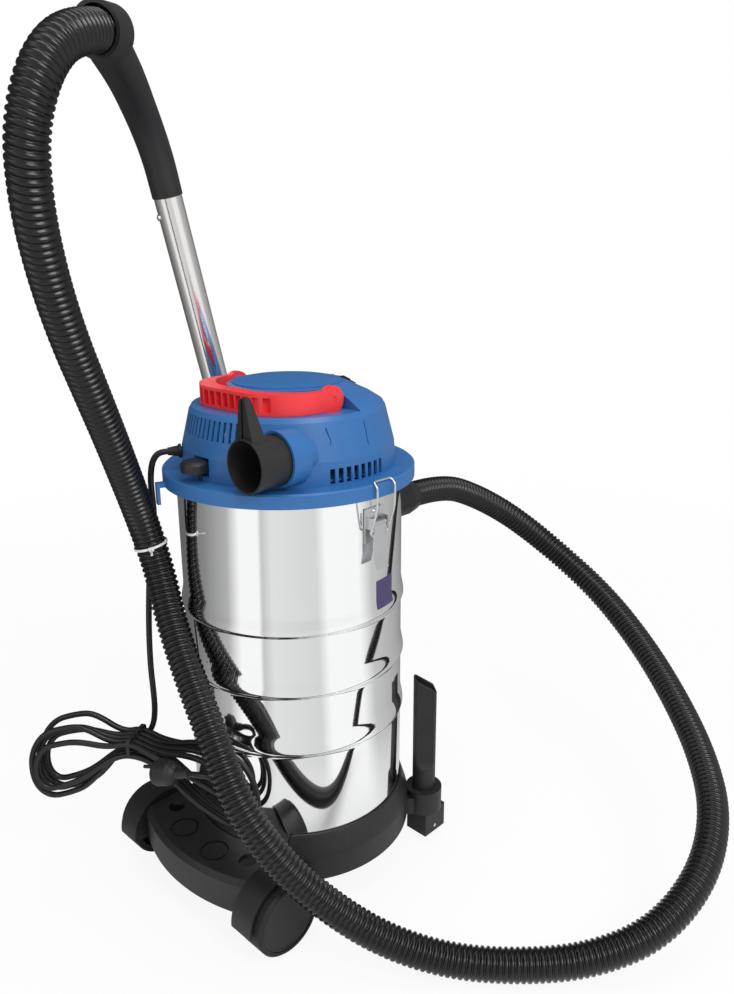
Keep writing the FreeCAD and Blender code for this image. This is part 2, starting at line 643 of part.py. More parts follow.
def cable_hook_shape():
    """A hook that hangs from the rim beside the mains cord."""
    rim = size("rim_radius")
    arm = Part.makeBox(size("hook_reach") + 2, 10, 6, Vector(rim - 2, -5, size("rim_low") + 2))
    tab = Part.makeBox(4, 10, 28, Vector(rim + size("hook_reach") - 4, -5, size("rim_low") - 20))
    hook = arm.fuse(tab)
    hook.rotate(Vector(), Vector(0, 0, 1), HOOK_BEARING)
    return hook


def side_vents(low, high):
    ring = size("ring_radius")
    return Part.makeCompound([radial_slots(bearing, 8, 4.6, 6.6, ring - 6, ring + 3, low, high) for bearing in (3.4, 176.6)])


def base_cuts():
    low = size("rim_high") + 1.5
    slots = [side_vents(low, size("split_height") + 1)]
    niche = cylinder(size("shaker_radius") + size("niche_gap"), size("rim_high") + 2 * size("shell"),
                     size("split_height") + 1, size("shaker_x"), size("shaker_y"))
    stem = cylinder(size("shaker_stem") + 0.3, size("rim_high") - 2 * size("shell"), size("split_height"),
                    size("shaker_x"), size("shaker_y") - size("shaker_stem_in"))
    way = Vector(0, 1, 0)
    port = Part.makeCylinder(size("port_radius") + 0.4, 40, Vector(size("port_x"), size("port_start") - 2, size("port_z")), way)
    collar = Part.makeCylinder(size("port_radius") + 9.2, size("collar_end") - 79, Vector(size("port_x"), 79.5, size("port_z")), way)
    return Part.makeCompound(slots + [niche.fuse(stem), gland_hole(), nozzle_room().fuse(port).fuse(collar)])


def nozzle_room():
    """The tapered room around the corner nozzle where it enters the head."""
    start = size("port_start") + 18
    sleeve = size("port_radius") + size("nozzle_wall") + 2.1
    return Part.makeCone(sleeve, size("nozzle_mouth_radius") + 0.9, size("nozzle_mouth_y") - start,
                         Vector(size("port_x"), start, size("port_z")), Vector(0, 1, 0))


def gland_hole():
    """The way through the wall for the mains cord's gland."""
    hole = Part.makeCylinder(size("gland_sleeve") + 0.2, 60, Vector(100, 0, size("gland_z")), Vector(1, 0, 0))
    hole.rotate(Vector(), Vector(0, 0, 1), GLAND_BEARING)
    return hole


def niche_wall(low, high):
    """The curved wall behind the shaker knob, inside the ring."""
    inner = size("shaker_radius") + size("niche_gap")
    tube = cylinder(inner + size("niche_wall"), low, high, size("shaker_x"), size("shaker_y"))
    tube = tube.cut(cylinder(inner, low - 1, high + 1, size("shaker_x"), size("shaker_y")))
    return tube.common(cylinder(size("ring_radius") - size("shell") + 1, low, high))


head_cut = cut("head_ring_cut", head_ring, shaped("head_ring_cuts", base_cuts()))
piece("head_base", fuse("head_base", head_cut, shaped("cable_hook", cable_hook_shape()),
                        shaped("niche_back", niche_wall(size("rim_high") + 2 * size("shell"), size("split_height")))))
piece("drum_seal", turned("drum_seal", [
    ("drum_radius-0.5", "drum_top"), ("drum_radius+7", "drum_top"), ("drum_radius+7", "drum_top+seal_height"),
    ("drum_radius-0.5", "drum_top+seal_height"),
]))


# Head cover: the blue upper shell, hollow below, with the handle's channel, rear vents and the blower port.
def half_space(y, behind):
    """A large box behind or ahead of a plane across Y."""
    return Part.makeBox(800, 800, 1200, Vector(-400, y if behind else y - 800, 0))


SWITCH_TILT = 26.0


def on_front_slope(shape, y, x=0.0):
    """Lays a shape made about the origin on the cover's front slope."""
    slope = math.radians(SWITCH_TILT)
    reach = math.hypot(x, y)
    rise = size("cover_top") + 6 - (reach - size("disc_rim_radius")) * math.tan(slope)
    shape = shape.copy()
    shape.rotate(Vector(), Vector(0, 1, 0), SWITCH_TILT)
    shape.rotate(Vector(), Vector(0, 0, 1), math.degrees(math.atan2(y, x)))
    shape.translate(Vector(x, y, rise))
    return shape


def teardrop():
    """A shallow drop-shaped recess on the sloping wall beside the corner nozzle."""
    ring = size("ring_radius") - 1
    neck_r = size("cover_neck_radius") + 1
    low = size("split_height") + 13
    high = size("cover_neck") - 4
    slope = math.atan2(ring - neck_r, high - low)
    drop = Part.makeCylinder(5.4, 8, Vector(0, 0, -1.4))
    drop = drop.fuse(prism([(-5.2, 1.4), (5.2, 1.4), (0.5, 17), (-0.5, 17)], -1.4, 6.6))
    sine, cosine = math.sin(slope), math.cos(slope)
    lay = FreeCAD.Matrix(0, -sine, cosine, 0, 1, 0, 0, 0, 0, cosine, sine, 0, 0, 0, 0, 1)
    drop = drop.transformGeometry(lay)
    drop.translate(Vector(ring - (643 - low) * math.tan(slope), 0, 643))
    drop.rotate(Vector(), Vector(0, 0, 1), 159)
    return drop


def side_groove():
    """A thin groove down the sloping wall, ahead of the side vents' middle."""
    ring = size("ring_radius") - 1
    neck_r = size("cover_neck_radius") + 1
    low = size("split_height") + 13
    high = size("cover_neck") - 2
    slope = math.atan2(ring - neck_r, high - low)
    groove = Part.makeBox(4, 1.6, 30, Vector(-1.2, -0.8, 0))
    groove.rotate(Vector(), Vector(0, 1, 0), -math.degrees(slope))
    groove.translate(Vector(ring - (632 - low) * math.tan(slope), 0, 632))
    groove.rotate(Vector(), Vector(0, 0, 1), 184.5)
    return groove


def cover_shape():
    wall = size("shell")
    split = size("split_height")
    neck_r = size("cover_neck_radius")
    neck = size("cover_neck")
    shoulder_r = size("cover_shoulder_radius")
    shoulder = size("cover_shoulder")
    disc_r = size("disc_rim_radius")
    top = size("cover_top") + 6
    ring = size("ring_radius")
    seat = size("disc_top") - 8.5
    outside = revolve([
        (0, split), (ring, split), (ring - 1, split + 13), (neck_r + 1, neck - 2), (neck_r - 2.5, neck + 3.8),
        (shoulder_r + 2, shoulder + 1), (disc_r, top), (disc_r - 6, top + 2), (disc_r - 6, seat), (0, seat),
    ])
    ledge = size("handle_z") - size("handle_tall") / 2 - size("handle_gap")
    hollow = revolve([
        (0, split - 1), (ring - wall, split - 1), (ring - wall - 1, split + 12), (neck_r - 2.5, neck - 6),
        (neck_r - 6, ledge - wall), (0, ledge - wall),
    ])
    crown = cylinder(disc_r - wall - 2, split, seat - wall)
    brow = revolve([
        (disc_r - 10, ledge - wall - 1), (neck_r - 7.5, ledge - wall - 1), (shoulder_r - 1, shoulder - wall),
        (disc_r - 2, top - wall - 1.5), (disc_r - 10, seat - wall),
    ]).common(half_space(-12.5, False))
    channel = cylinder(neck_r + 8, ledge, 760).cut(cylinder(disc_r, ledge - 1, 761))
    channel = channel.common(half_space(size("handle_y") - 21, True))
    solid = outside.cut(channel).cut(hollow).cut(crown).cut(brow)
    port_x = size("port_x")
    port_z = size("port_z")
    way = Vector(0, 1, 0)
    boss = Part.makeCylinder(size("port_radius") + 9, 80, Vector(port_x, size("port_start") - 2, port_z), way)
    collar = Part.makeCylinder(size("port_radius") + 9, size("collar_end") - 80, Vector(port_x, 80, port_z), way)
    solid = solid.fuse(boss.common(outside)).fuse(collar)
    solid = solid.cut(nozzle_room())
    tube = Part.makeCylinder(size("port_radius"), size("port_end") - size("port_start"),
                             Vector(port_x, size("port_start"), port_z), way)
    bore = Part.makeCylinder(size("port_radius") - size("port_wall"), 90, Vector(port_x, size("port_start") - 8, port_z), way)
    solid = solid.fuse(tube).cut(bore)
    solid = solid.cut(radial_slots(88, 13, 3.9, 3.6, neck_r - 4, ring + 4, neck - 27, neck - 3))
    solid = solid.cut(radial_slots(-90, 13, 3.9, 3.6, neck_r - 4, ring + 4, neck - 27, neck - 3))
    solid = solid.cut(side_vents(split - 1, split + 4)).cut(teardrop()).cut(side_groove())
    pin = Part.makeCylinder(size("handle_pin_radius"), 2 * size("handle_width"),
                            Vector(-size("handle_width"), size("handle_y"), size("handle_z")), Vector(1, 0, 0))
    arm_in = size("handle_width") - size("handle_arm") - size("handle_gap")
    for sign in (1, -1):
        ear = Part.makeCylinder(12, arm_in - disc_r + 6,
                                Vector(sign * (disc_r - 6), size("handle_y"), size("handle_z")), Vector(sign, 0, 0))
        solid = solid.fuse(ear.cut(cylinder(disc_r - wall - 2, 0, 760)))
        pad = Part.makeBox(26, 40, 6, Vector(-13, size("handle_y") - 20, ledge - wall - 5))
        pad.translate(Vector(sign * (size("handle_width") - 1), 0, 0))
        solid = solid.fuse(pad.common(outside))
        swing = Part.makeCylinder(size("handle_tall") / 2 + 5.1, size("handle_arm") + 8,
                                  Vector(sign * arm_in, size("handle_y"), size("handle_z")), Vector(sign, 0, 0))
        solid = solid.cut(swing)
    solid = solid.cut(pin)
    niche_r = size("shaker_radius") + size("niche_gap")
    roof = size("niche_roof")
    back = cylinder(niche_r + size("niche_wall"), split, roof + wall, size("shaker_x"), size("shaker_y"))
    solid = solid.fuse(back.common(outside))
    solid = solid.cut(cylinder(niche_r, split - 1, roof, size("shaker_x"), size("shaker_y")))
    solid = solid.cut(gland_hole())
    window = Part.makeBox(size("switch_width") + 0.6, size("switch_length") + 0.6, 30,
                          Vector(-size("switch_width") / 2 - 0.3, -size("switch_length") / 2 - 0.3, -14))
    solid = solid.cut(on_front_slope(window, size("switch_y")))
    return solid.removeSplitter()


piece("head_cover", shaped("head_cover", cover_shape()))
piece("top_disc", turned("top_disc", [
    ("0", "disc_top-8.3"), ("disc_rim_radius-6.3", "disc_top-8.3"), ("disc_rim_radius-6.3", "disc_top-5"),
    ("disc_rim_radius-18", "disc_top-2.6"), ("disc_rim_radius*0.5", "disc_top-0.8"), ("0", "disc_top"),
]))
cover_screw_shapes = [
    Part.makeCylinder(3.4, 2.4, Vector(math.cos(math.radians(b)) * 112, math.sin(math.radians(b)) * 112, 597.2))
    for b in (30, 150, 210, 330)
]
piece("cover_screws", shaped("cover_screws", Part.makeCompound(cover_screw_shapes)))


# Carry handle: the red moulding that lies round the disc and folds up on two pins.
def handle_shape():
    width = size("handle_width")
    arm = size("handle_arm")
    grip = size("handle_grip")
    y = size("handle_y")
    rear = size("handle_rear")
    half = size("handle_grip_half")
    low = size("handle_z") - size("handle_tall") / 2
    high = low + size("handle_tall")
    right_out = [(width, y + 22), (width - 1, y + 36), (width - 7, y + 54), (width - 21, y + 72), (half, rear - 1.5), (0, rear + 1)]
    right_in = [(0, rear - grip), (half - 6, rear - grip - 2), (width - 34, y + 56), (width - arm - 8, y + 41),
                (width - arm - 1, y + 27), (width - arm, y + 18)]
    outer = right_out + [(-x, v) for x, v in right_out[-2::-1]]
    inner = [(-x, v) for x, v in right_in[:0:-1]] + right_in
    solid = curved_prism([outer, [(-width, y), (arm - width, y)], inner, [(width - arm, y), (width, y)]], low, high)
    solid = solid.cut(cylinder(size("disc_rim_radius") + 0.9, low - 1, high + 1))
    for sign in (1, -1):
        start = Vector(sign * (width - arm), y, size("handle_z"))
        solid = solid.fuse(Part.makeCylinder(size("handle_tall") / 2 + 4.5, arm, start, Vector(sign, 0, 0)))
    bore = Part.makeCylinder(size("handle_pin_radius") + size("run_gap"), 2 * width + 2,
                             Vector(-width - 1, y, size("handle_z")), Vector(1, 0, 0))
    solid = solid.cut(bore)
    pockets = [Part.makeBox(10.4, 10, size("handle_tall") - 8, Vector(-5.2 + 13 * i, rear - 6, low + 4)) for i in range(-3, 4)]
    for sign in (1, -1):
        for x, back, turn in ((52, rear - 7.3, 20), (62.5, rear - 14.2, 43)):
            pocket = Part.makeBox(9.6, 10, size("handle_tall") - 8, Vector(-4.8, 0, low + 4))
            pocket.rotate(Vector(), Vector(0, 0, 1), -sign * turn)
            pocket.translate(Vector(sign * x, back, 0))
            pockets.append(pocket)
    return solid.cut(Part.makeCompound(pockets)).removeSplitter()


def handle_pin_shapes():
    pins = []
    for sign in (1, -1):
        start = Vector(sign * (size("disc_rim_radius") - 5), size("handle_y"), size("handle_z"))
        length = size("handle_width") - size("disc_rim_radius") + 4
        pins.append(Part.makeCylinder(size("handle_pin_radius"), length, start, Vector(sign, 0, 0)))
    return Part.makeCompound(pins)


piece("carry_handle", shaped("carry_handle", handle_shape()))
piece("handle_pins", shaped("handle_pins", handle_pin_shapes()))


# Controls: the switch with its rocker on the front slope, and the filter shaker's knob in its niche.
def switch_frame_shape():
    width = size("switch_width")
    length = size("switch_length")
    body = Part.makeBox(width, length, 15, Vector(-width / 2, -length / 2, -12))
    lip = Part.makeBox(width + 6, length + 6, 2, Vector(-width / 2 - 3, -length / 2 - 3, 1))
    well = Part.makeBox(width - 4, length - 4, 9, Vector(2 - width / 2, 2 - length / 2, -5))
    return on_front_slope(body.fuse(lip).cut(well), size("switch_y"))


def rocker_shape():
    gap = size("switch_travel_gap")
    half_w = size("switch_width") / 2 - 2 - gap
    half_l = size("switch_length") / 2 - 2 - gap
    side = [Vector(-half_l + 0.8, -half_w, 1), Vector(-half_l + 0.6, -half_w, 5.6), Vector(0, -half_w, 3.6),
            Vector(half_l - 0.6, -half_w, 5.6), Vector(half_l - 0.8, -half_w, 1), Vector(0, -half_w, -1.8)]
    flat = Part.Face(Part.makePolygon([Vector(p.y, p.x, p.z) for p in side + side[:1]]))
    return on_front_slope(flat.extrude(Vector(2 * half_w, 0, 0)), size("switch_y"))


piece("switch_frame", shaped("switch_frame", switch_frame_shape()))
piece("switch_rocker", shaped("switch_rocker", rocker_shape()))
knob_cap = turned("knob_cap", [
    ("0", "0"), ("shaker_radius", "0"), ("shaker_radius", "shaker_tall-5"), ("shaker_radius-1", "shaker_tall-3"),
    ("shaker_radius-3.2", "shaker_tall-1.4"), ("shaker_radius*0.5", "shaker_tall-0.3"), ("0", "shaker_tall"),
], ("shaker_x", "shaker_y", "shaker_low"))
knob_stem = rod("knob_stem", "shaker_stem", "shaker_low-plug_low-8",
                ("shaker_x", "shaker_y-shaker_stem_in", "plug_low+8"))
piece("shaker_knob", fuse("shaker_knob", knob_cap, knob_stem))


# Corner nozzle: a black tube pushed over the blower port, its wedge tongue turned up.
def corner_nozzle_shape():
    x = size("port_x")
    z = size("port_z")
    way = Vector(0, 1, 0)
    start = size("port_start") + 20
    mouth = size("nozzle_mouth_y")
    sleeve_r = size("port_radius") + 0.4 + size("nozzle_wall") + 0.8
    mouth_r = size("nozzle_mouth_radius")
    wall = size("nozzle_wall")
    outer = Part.makeCone(sleeve_r, mouth_r, mouth - start, Vector(x, start, z), way)
    inner = Part.makeCone(size("port_radius") + 0.4, mouth_r - wall, mouth - start, Vector(x, start, z), way)
    foot = Part.makePolygon([Vector(x - 15, mouth - 25, z + 18), Vector(x + 17, mouth - 25, z + 18),
                             Vector(x + 17, mouth - 3, z + 18), Vector(x - 15, mouth - 3, z + 18),
                             Vector(x - 15, mouth - 25, z + 18)])
    top = size("nozzle_fin_top")
    tip = Part.makePolygon([Vector(x, mouth - 13, top), Vector(x + 10, mouth - 13, top),
                            Vector(x + 10, mouth - 4, top), Vector(x, mouth - 4, top), Vector(x, mouth - 13, top)])
    tongue = Part.makeLoft([foot, tip], True, True)
    scoop = Part.makeBox(3.4, 20, top - z, Vector(x + 3.3, mouth - 6.5, z + 20))
    return outer.fuse(tongue.cut(scoop)).cut(inner).removeSplitter()


piece("corner_nozzle", shaped("corner_nozzle", corner_nozzle_shape()))


# Latches: on each side a riveted plate with two ears, a lever on a pin, and a wire bail over the rim.
LATCH_Y = -5.0


def flip(shape, sign):
    """The left latch as made, or its mirror image for the right side."""
    if sign > 0:
        return shape
    return shape.mirror(Vector(), Vector(1, 0, 0))


def latch_plate_shape(sign):
    face = size("drum_radius") + 0.3
    out = face + size("latch_plate")
    half = size("latch_plate_half")
    low = size("latch_plate_low")
    high = size("latch_plate_high")
    pivot_z = size("latch_pivot_z")
    plate = Part.makeBox(size("latch_plate"), 2 * half, high - low, Vector(face, LATCH_Y - half, low))
    solid = plate
    for edge in (-13.6, 12.0):
        solid = solid.fuse(Part.makeBox(size("latch_pivot_r") + 3.6 - out + 0.5, 1.6, 15,
                                        Vector(out - 0.5, LATCH_Y + edge, pivot_z - 7.5)))
    for z in (low + 6, high - 6):
        solid = solid.fuse(Part.makeCylinder(3, 1.6, Vector(out - 0.2, LATCH_Y, z), Vector(1, 0, 0)))
    hole = Part.makeCylinder(size("latch_pin_radius"), 40, Vector(size("latch_pivot_r"), LATCH_Y - 20, pivot_z),
                             Vector(0, 1, 0))
    return flip(solid.cut(hole), sign)


def latch_pin_shape(sign):
    return flip(Part.makeCylinder(size("latch_pin_radius"), 28.4, Vector(size("latch_pivot_r"), LATCH_Y - 14.2,
                                                                        size("latch_pivot_z")), Vector(0, 1, 0)), sign)


def latch_lever_shape(sign):
    x = size("latch_pivot_r")
    z = size("latch_pivot_z")
    half = size("latch_lever_half")
    low = size("latch_lever_low")
    barrel = Part.makeCylinder(3.6, 2 * half, Vector(x, LATCH_Y - half, z), Vector(0, 1, 0))
    side = [(x + 1.4, z), (x + 1.4, low + 14), (x + 5.5, low), (x + 7.2, low + 0.6), (x + 3, low + 15), (x + 3, z)]
    wire = Part.makePolygon([Vector(a, LATCH_Y - half, b) for a, b in side + side[:1]])
    blade = Part.Face(wire).extrude(Vector(0, 2 * half, 0))
    solid = barrel.fuse(blade)
    drop = z - size("bail_pivot_drop")
    for edge in (-half, half - 2):
        solid = solid.fuse(Part.makeBox(6, 2, 8, Vector(x - 1.6, LATCH_Y + edge, drop - 4)))
    way = Vector(0, 1, 0)
    solid = solid.cut(Part.makeCylinder(size("latch_pin_radius") + size("run_gap"), 60, Vector(x, LATCH_Y - 30, z), way))
    hole = Part.makeCylinder(size("bail_wire") + size("run_gap"), 60, Vector(x + 1.0, LATCH_Y - 30, drop), way)
    solid = solid.cut(hole)
    return flip(solid.removeSplitter(), sign)


def latch_bail_shape(sign):
    half = size("bail_half")
    low = size("latch_pivot_z") - size("bail_pivot_drop")
    x = size("latch_pivot_r") + 1.0
    out = size("rim_radius") + 4.4
    top = size("rim_high") + size("bail_wire") + 1.2
    inner = size("latch_lever_half") - 2
    right = [(x, inner, low), (x, half, low), (out, half, low + 34), (out, half, top - 6), (out - 7, half, top)]
    points = [Vector(a, LATCH_Y - b, c) for a, b, c in right] + [Vector(a, LATCH_Y + b, c) for a, b, c in right[::-1]]
    edges, radii = route_edges(points)
    bail, length = tube_on(edges, size("bail_wire"))
    return flip(bail, sign)


for side, sign in SIDES:
    piece(f"latch_plate_{side}", shaped(f"latch_plate_{side}", latch_plate_shape(sign)))
    piece(f"latch_pin_{side}", shaped(f"latch_pin_{side}", latch_pin_shape(sign)))
    piece(f"latch_lever_{side}", shaped(f"latch_lever_{side}", latch_lever_shape(sign)))
    piece(f"latch_bail_{side}", shaped(f"latch_bail_{side}", latch_bail_shape(sign)))


# Crevice nozzle: a tube that is pressed flat towards its slanted tip and stands in the right ear's socket.
def crevice_shape():
    radius = size("crevice_radius")
    low = size("crevice_low")
    top = size("crevice_top")
    reach = size("ear_reach") / math.sqrt(2)

    def flattened(grow, ends):
        half_low = radius + 1 + grow
        half_top = radius * 0.52 + grow
        side = [(-half_low, low - ends), (half_low, low - ends), (half_low, low + 60), (half_top, low + 120),
                (half_top, top + ends), (-half_top, top + ends), (-half_top, low + 120), (-half_low, low + 60)]
        wire = Part.makePolygon([Vector(x, -radius - 5, z) for x, z in side + side[:1]])
        return cylinder(radius + grow, low - ends, top + ends).common(Part.Face(wire).extrude(Vector(0, 2 * radius + 10, 0)))

    tube = flattened(0, 0).cut(flattened(-size("crevice_wall"), 5))
    slant = Part.makePolygon([Vector(-40, -radius - 1, top + 1), Vector(-40, radius + 1, top + 1),
                              Vector(-40, radius + 1, top - 22), Vector(-40, -radius - 1, top + 1)])
    tube = tube.cut(Part.Face(slant).extrude(Vector(80, 0, 0)))
    tube.rotate(Vector(), Vector(0, 0, 1), -45)
    tube.translate(Vector(-reach, -reach, 0))
    return tube


piece("crevice_nozzle", shaped("crevice_nozzle", crevice_shape()))


# Side label: a thin blank plate glued to the drum below the right latch.
def label_shape():
    fade_r = size("drum_radius") + size("bead_height") * 0.62
    fade_z = size("bead_high") + size("bead_fade") * 0.55
    low_r = size("drum_radius")
    low_z = size("bead_high") + size("bead_fade")
    top = size("label_top")
    profile = [(fade_r + 0.05, fade_z), (low_r + 0.05, low_z), (low_r + 0.05, top), (low_r + 0.45, top),
               (low_r + 0.45, low_z), (fade_r + 0.45, fade_z)]
    wire = Part.makePolygon([Vector(r, 0, z) for r, z in profile + profile[:1]])
    plate = Part.Face(wire).revolve(Vector(), Vector(0, 0, 1), 14)
    plate.rotate(Vector(), Vector(0, 0, 1), 184)
    return plate


piece("blank_label", shaped("blank_label", label_shape()))


# Mains cord: a gland with its bending boot, the hanging lead, and the rest wound into a tied hank with its plug.
def aim(shape, start, way):
    """Turns a shape made up the Z axis to run from a point along a direction."""
    shape = shape.copy()
    shape.Placement = Placement(start, Rotation(Vector(0, 0, 1), way)).multiply(shape.Placement)
    return shape


def bearing(angle):
    return Vector(math.cos(math.radians(angle)), math.sin(math.radians(angle)), 0)


def gland_shape():
    way = bearing(GLAND_BEARING)
    face = size("ring_radius") + 0.4
    cord = size("cord_radius")
    boot = size("boot_end")
    profile = [(0, face - 16), (size("gland_sleeve"), face - 16), (size("gland_sleeve"), face),
               (size("gland_radius"), face), (size("gland_radius"), face + 3.4), (cord + 2.8, face + 4.4),
               (cord + 1.0, boot), (0, boot)]
    return aim(revolve(profile), Vector(0, 0, size("gland_z")), way)


CORD_ROUTE = [
    (79, 136.83, 614), (84, 145.49, 614), (89, 152, 606), (92, 155, 593), (94, 156, 574), (97.5, 153, 550),
    (102.5, 149.5, 524), (108.5, 150.5, 496), (113.5, 154.5, 463), (116, 158.5, 418), (114, 165, 362), (103, 173.5, 312),
    (98.2, 174.9, 279), (98.2, 174.9, 248),
]
HANK_CENTRE = Vector(94, 209.6, 218)
HANK_LEFT = Vector(0.679, 0.692, -0.243)
HANK_RIGHT = Vector(-0.950, -0.249, -0.186)
HANK_ACROSS = Vector(-0.502, 0.865, 0)
PLUG_START = Vector(-38, 214, 230)
PLUG_WAY = Vector(0.93, 0.26, -0.26)


def power_cord_shape():
    edges, radii = route_edges([Vector(*p) for p in CORD_ROUTE])
    solid, length = tube_on(edges, size("cord_radius"))
    report_tube("power cord", solid, length, size("cord_radius"), radii)
    return solid


def hank_nodes():
    """The loops' points and directions: round the left end, through the waist and round the right end."""
    up = Vector(0, 0, 1)
    waist_way = Vector(HANK_ACROSS.y, -HANK_ACROSS.x, 0)
    loops = int(size("hank_loops"))
    nodes = [(Vector(*CORD_ROUTE[-1]), up * -1)]

    def spot(way, along, high, layer):
        return HANK_CENTRE + way * along + up * high + HANK_ACROSS * ((layer - (loops - 1) / 2) * size("hank_step"))

    for i in range(loops):
        swing = math.cos(2.4 * i)
        left_tall = size("hank_tall") * (0.79 + 0.2 * swing)
        right_tall = size("hank_tall") * (0.8 - 0.18 * swing)
        left = size("hank_left") * (0.95 + 0.05 * swing) - left_tall / 2
        right = size("hank_right") * (0.93 - 0.07 * swing) - right_tall / 2
        half = size("hank_waist") / 2
        nodes.append((spot(HANK_LEFT, 0, -half, i), waist_way))
        nodes.append((spot(HANK_LEFT, left, -left_tall / 2, i), HANK_LEFT))
        nodes.append((spot(HANK_LEFT, left + left_tall / 2, 0, i), up))
        nodes.append((spot(HANK_LEFT, left, left_tall / 2, i), HANK_LEFT * -1))
        nodes.append((spot(HANK_LEFT, 0, half, i), waist_way * -1))
        nodes.append((spot(HANK_RIGHT, right, right_tall / 2, i), HANK_RIGHT))
        nodes.append((spot(HANK_RIGHT, right + right_tall / 2, 0, i), up * -1))
        nodes.append((spot(HANK_RIGHT, right, -right_tall / 2, i), HANK_RIGHT * -1))
    nodes[-3:] = [(spot(HANK_RIGHT, size("tail_reach"), 10, loops - 1), HANK_RIGHT), (PLUG_START, PLUG_WAY)]
    return nodes


def own_gap(edges, radius):
    """The least gap from a tube's wall to itself, measured on points along it."""
    marks, total = stations(edges, 700)
    step = total / 700
    skip = int(3.4 * radius / step) + 3
    least = 1e9
    for i, (point, way) in enumerate(marks):
        for j in range(i + skip, len(marks)):
            apart = (marks[j][0] - point).Length
            if apart < least:
                least = apart
    return least - 2 * radius


def cord_hank_shape():
    nodes = hank_nodes()
    edges = []
    for (start, start_way), (end, end_way) in zip(nodes, nodes[1:]):
        edges += arc_edges(start, Vector(start_way).normalize(), end, Vector(end_way).normalize())
    solid, length = tube_on(edges, size("cord_radius"))
    section = math.pi * size("cord_radius") ** 2
    print(f"hank: length {length:.0f} mm, volume {solid.Volume / (section * length):.4f} of section x length, "
          f"least gap to itself {own_gap(edges, size('cord_radius')):.2f} mm")
    return solid


def hank_tie_shape():
    """A flat band drawn round the hank's waist."""
    high = size("hank_waist") / 2 + size("cord_radius") + 0.3
    wide = (size("hank_loops") - 1) / 2 * size("hank_step") + size("cord_radius") + 0.3
    outer = Part.makeBox(2 * (high + 1.2), 2 * (wide + 1.2), 5, Vector(-high - 1.2, -wide - 1.2, -2.5))
    outer = outer.makeFillet(5.5, [e for e in outer.Edges if e.BoundBox.ZLength > 4])
    inner = Part.makeBox(2 * high, 2 * wide, 8, Vector(-high, -wide, -4))
    inner = inner.makeFillet(4.3, [e for e in inner.Edges if e.BoundBox.ZLength > 7])
    band = outer.cut(inner)
    along = Vector(HANK_ACROSS.y, -HANK_ACROSS.x, 0)
    band.Placement = Placement(HANK_CENTRE, Rotation(Vector(0, 0, -1), HANK_ACROSS, along, "ZXY"))
    return band


def plug_shape():
    cord = size("cord_radius")
    boot = size("plug_boot")
    radius = size("plug_radius_out")
    end = boot + size("plug_body")
    body = revolve([(0, 0), (cord + 0.8, 0), (cord + 3, boot), (radius - 5, boot + 3), (radius - 1.5, boot + 9),
                    (radius, end - 4), (radius - 1, end), (0, end)])
    for side in (-1, 1):
        pin = cylinder(size("pin_radius"), end - 1, end + size("pin_length"), side * size("pin_spread") / 2)
        body = body.fuse(pin)
    return aim(body, PLUG_START, PLUG_WAY)


piece("cord_gland", shaped("cord_gland", gland_shape()))
piece("power_cord", shaped("power_cord", power_cord_shape()))
piece("cord_hank", shaped("cord_hank", cord_hank_shape()))
piece("hank_tie", shaped("hank_tie", hank_tie_shape()))
piece("mains_plug", shaped("mains_plug", plug_shape()))


# Hose tie: a thin nylon tie round the hose, with its lock and tail.
def hose_tie_shape():
    low, high = Vector(*HOSE_ROUTE[22]), Vector(*HOSE_ROUTE[23])
    way = (high - low).normalize()
    radius = size("hose_radius") + 0.4
    band = cylinder(radius + 1.3, -1.5, 1.5).cut(cylinder(radius, -2, 2))
    lock = Part.makeBox(5, 6, 5, Vector(radius + 1, -3, -2.5))
    tail = Part.makeBox(26, 2.6, 1, Vector(radius + 5, -1.3, -0.5))
    knot = lock.fuse(tail)
    knot.rotate(Vector(), Vector(0, 0, 1), 150)
    return aim(band.fuse(knot), (low + high) * 0.5, way)


piece("hose_tie", shaped("hose_tie", hose_tie_shape()))

# Wand: two plated tubes, the lower one drawn in at its top, with a spring button near the grip.
WAND_TOP = Vector(165, 54, 929)
WAND_WAY = Vector(0.0629, -0.2753, -0.9595)
LOCK_SIDE = Vector(0.264, 0.95, 0)


def on_wand(shape):
    """Sets a shape on the wand's axis with its x side towards the button's side."""
    shape.Placement = Placement(WAND_TOP, Rotation(LOCK_SIDE, WAND_WAY.cross(LOCK_SIDE), WAND_WAY, "ZXY"))
    return shape



def wand_upper_shape():
    radius = size("wand_radius")
    tube = cylinder(radius, 0, size("wand_length")).cut(cylinder(radius - size("wand_wall"), -1, size("wand_length") + 1))
    hole = Part.makeCylinder(size("lock_radius") + 0.3, 30, Vector(0, 0, size("lock_drop")), Vector(1, 0, 0))
    return on_wand(tube.cut(hole))


def wand_lower_shape():
    radius = size("wand_radius")
    wall = size("wand_wall")
    slim = radius - wall - 0.15
    start = size("wand_length") - size("wand_insert")
    seat = size("wand_length") + 0.3
    end = 2 * size("wand_length") - size("wand_insert")
    profile = [(slim, start), (slim, seat), (radius, seat + 3), (radius, end), (radius - wall, end),
               (radius - wall, seat + 4), (slim - wall, seat + 1), (slim - wall, start)]
    return aim(revolve(profile), WAND_TOP, WAND_WAY)


def lock_button_shape():
    radius = size("wand_radius")
    pin = Part.makeCylinder(size("lock_radius"), 9.5, Vector(radius - 7.2, 0, size("lock_drop")), Vector(1, 0, 0))
    pin = pin.makeFillet(1.2, [e for e in pin.Edges if e.BoundBox.XMin > radius + 2])
    return on_wand(pin)


piece("wand_upper", shaped("wand_upper", wand_upper_shape()))
piece("wand_lower", shaped("wand_lower", wand_lower_shape()))
piece("lock_button", shaped("lock_button", lock_button_shape()))


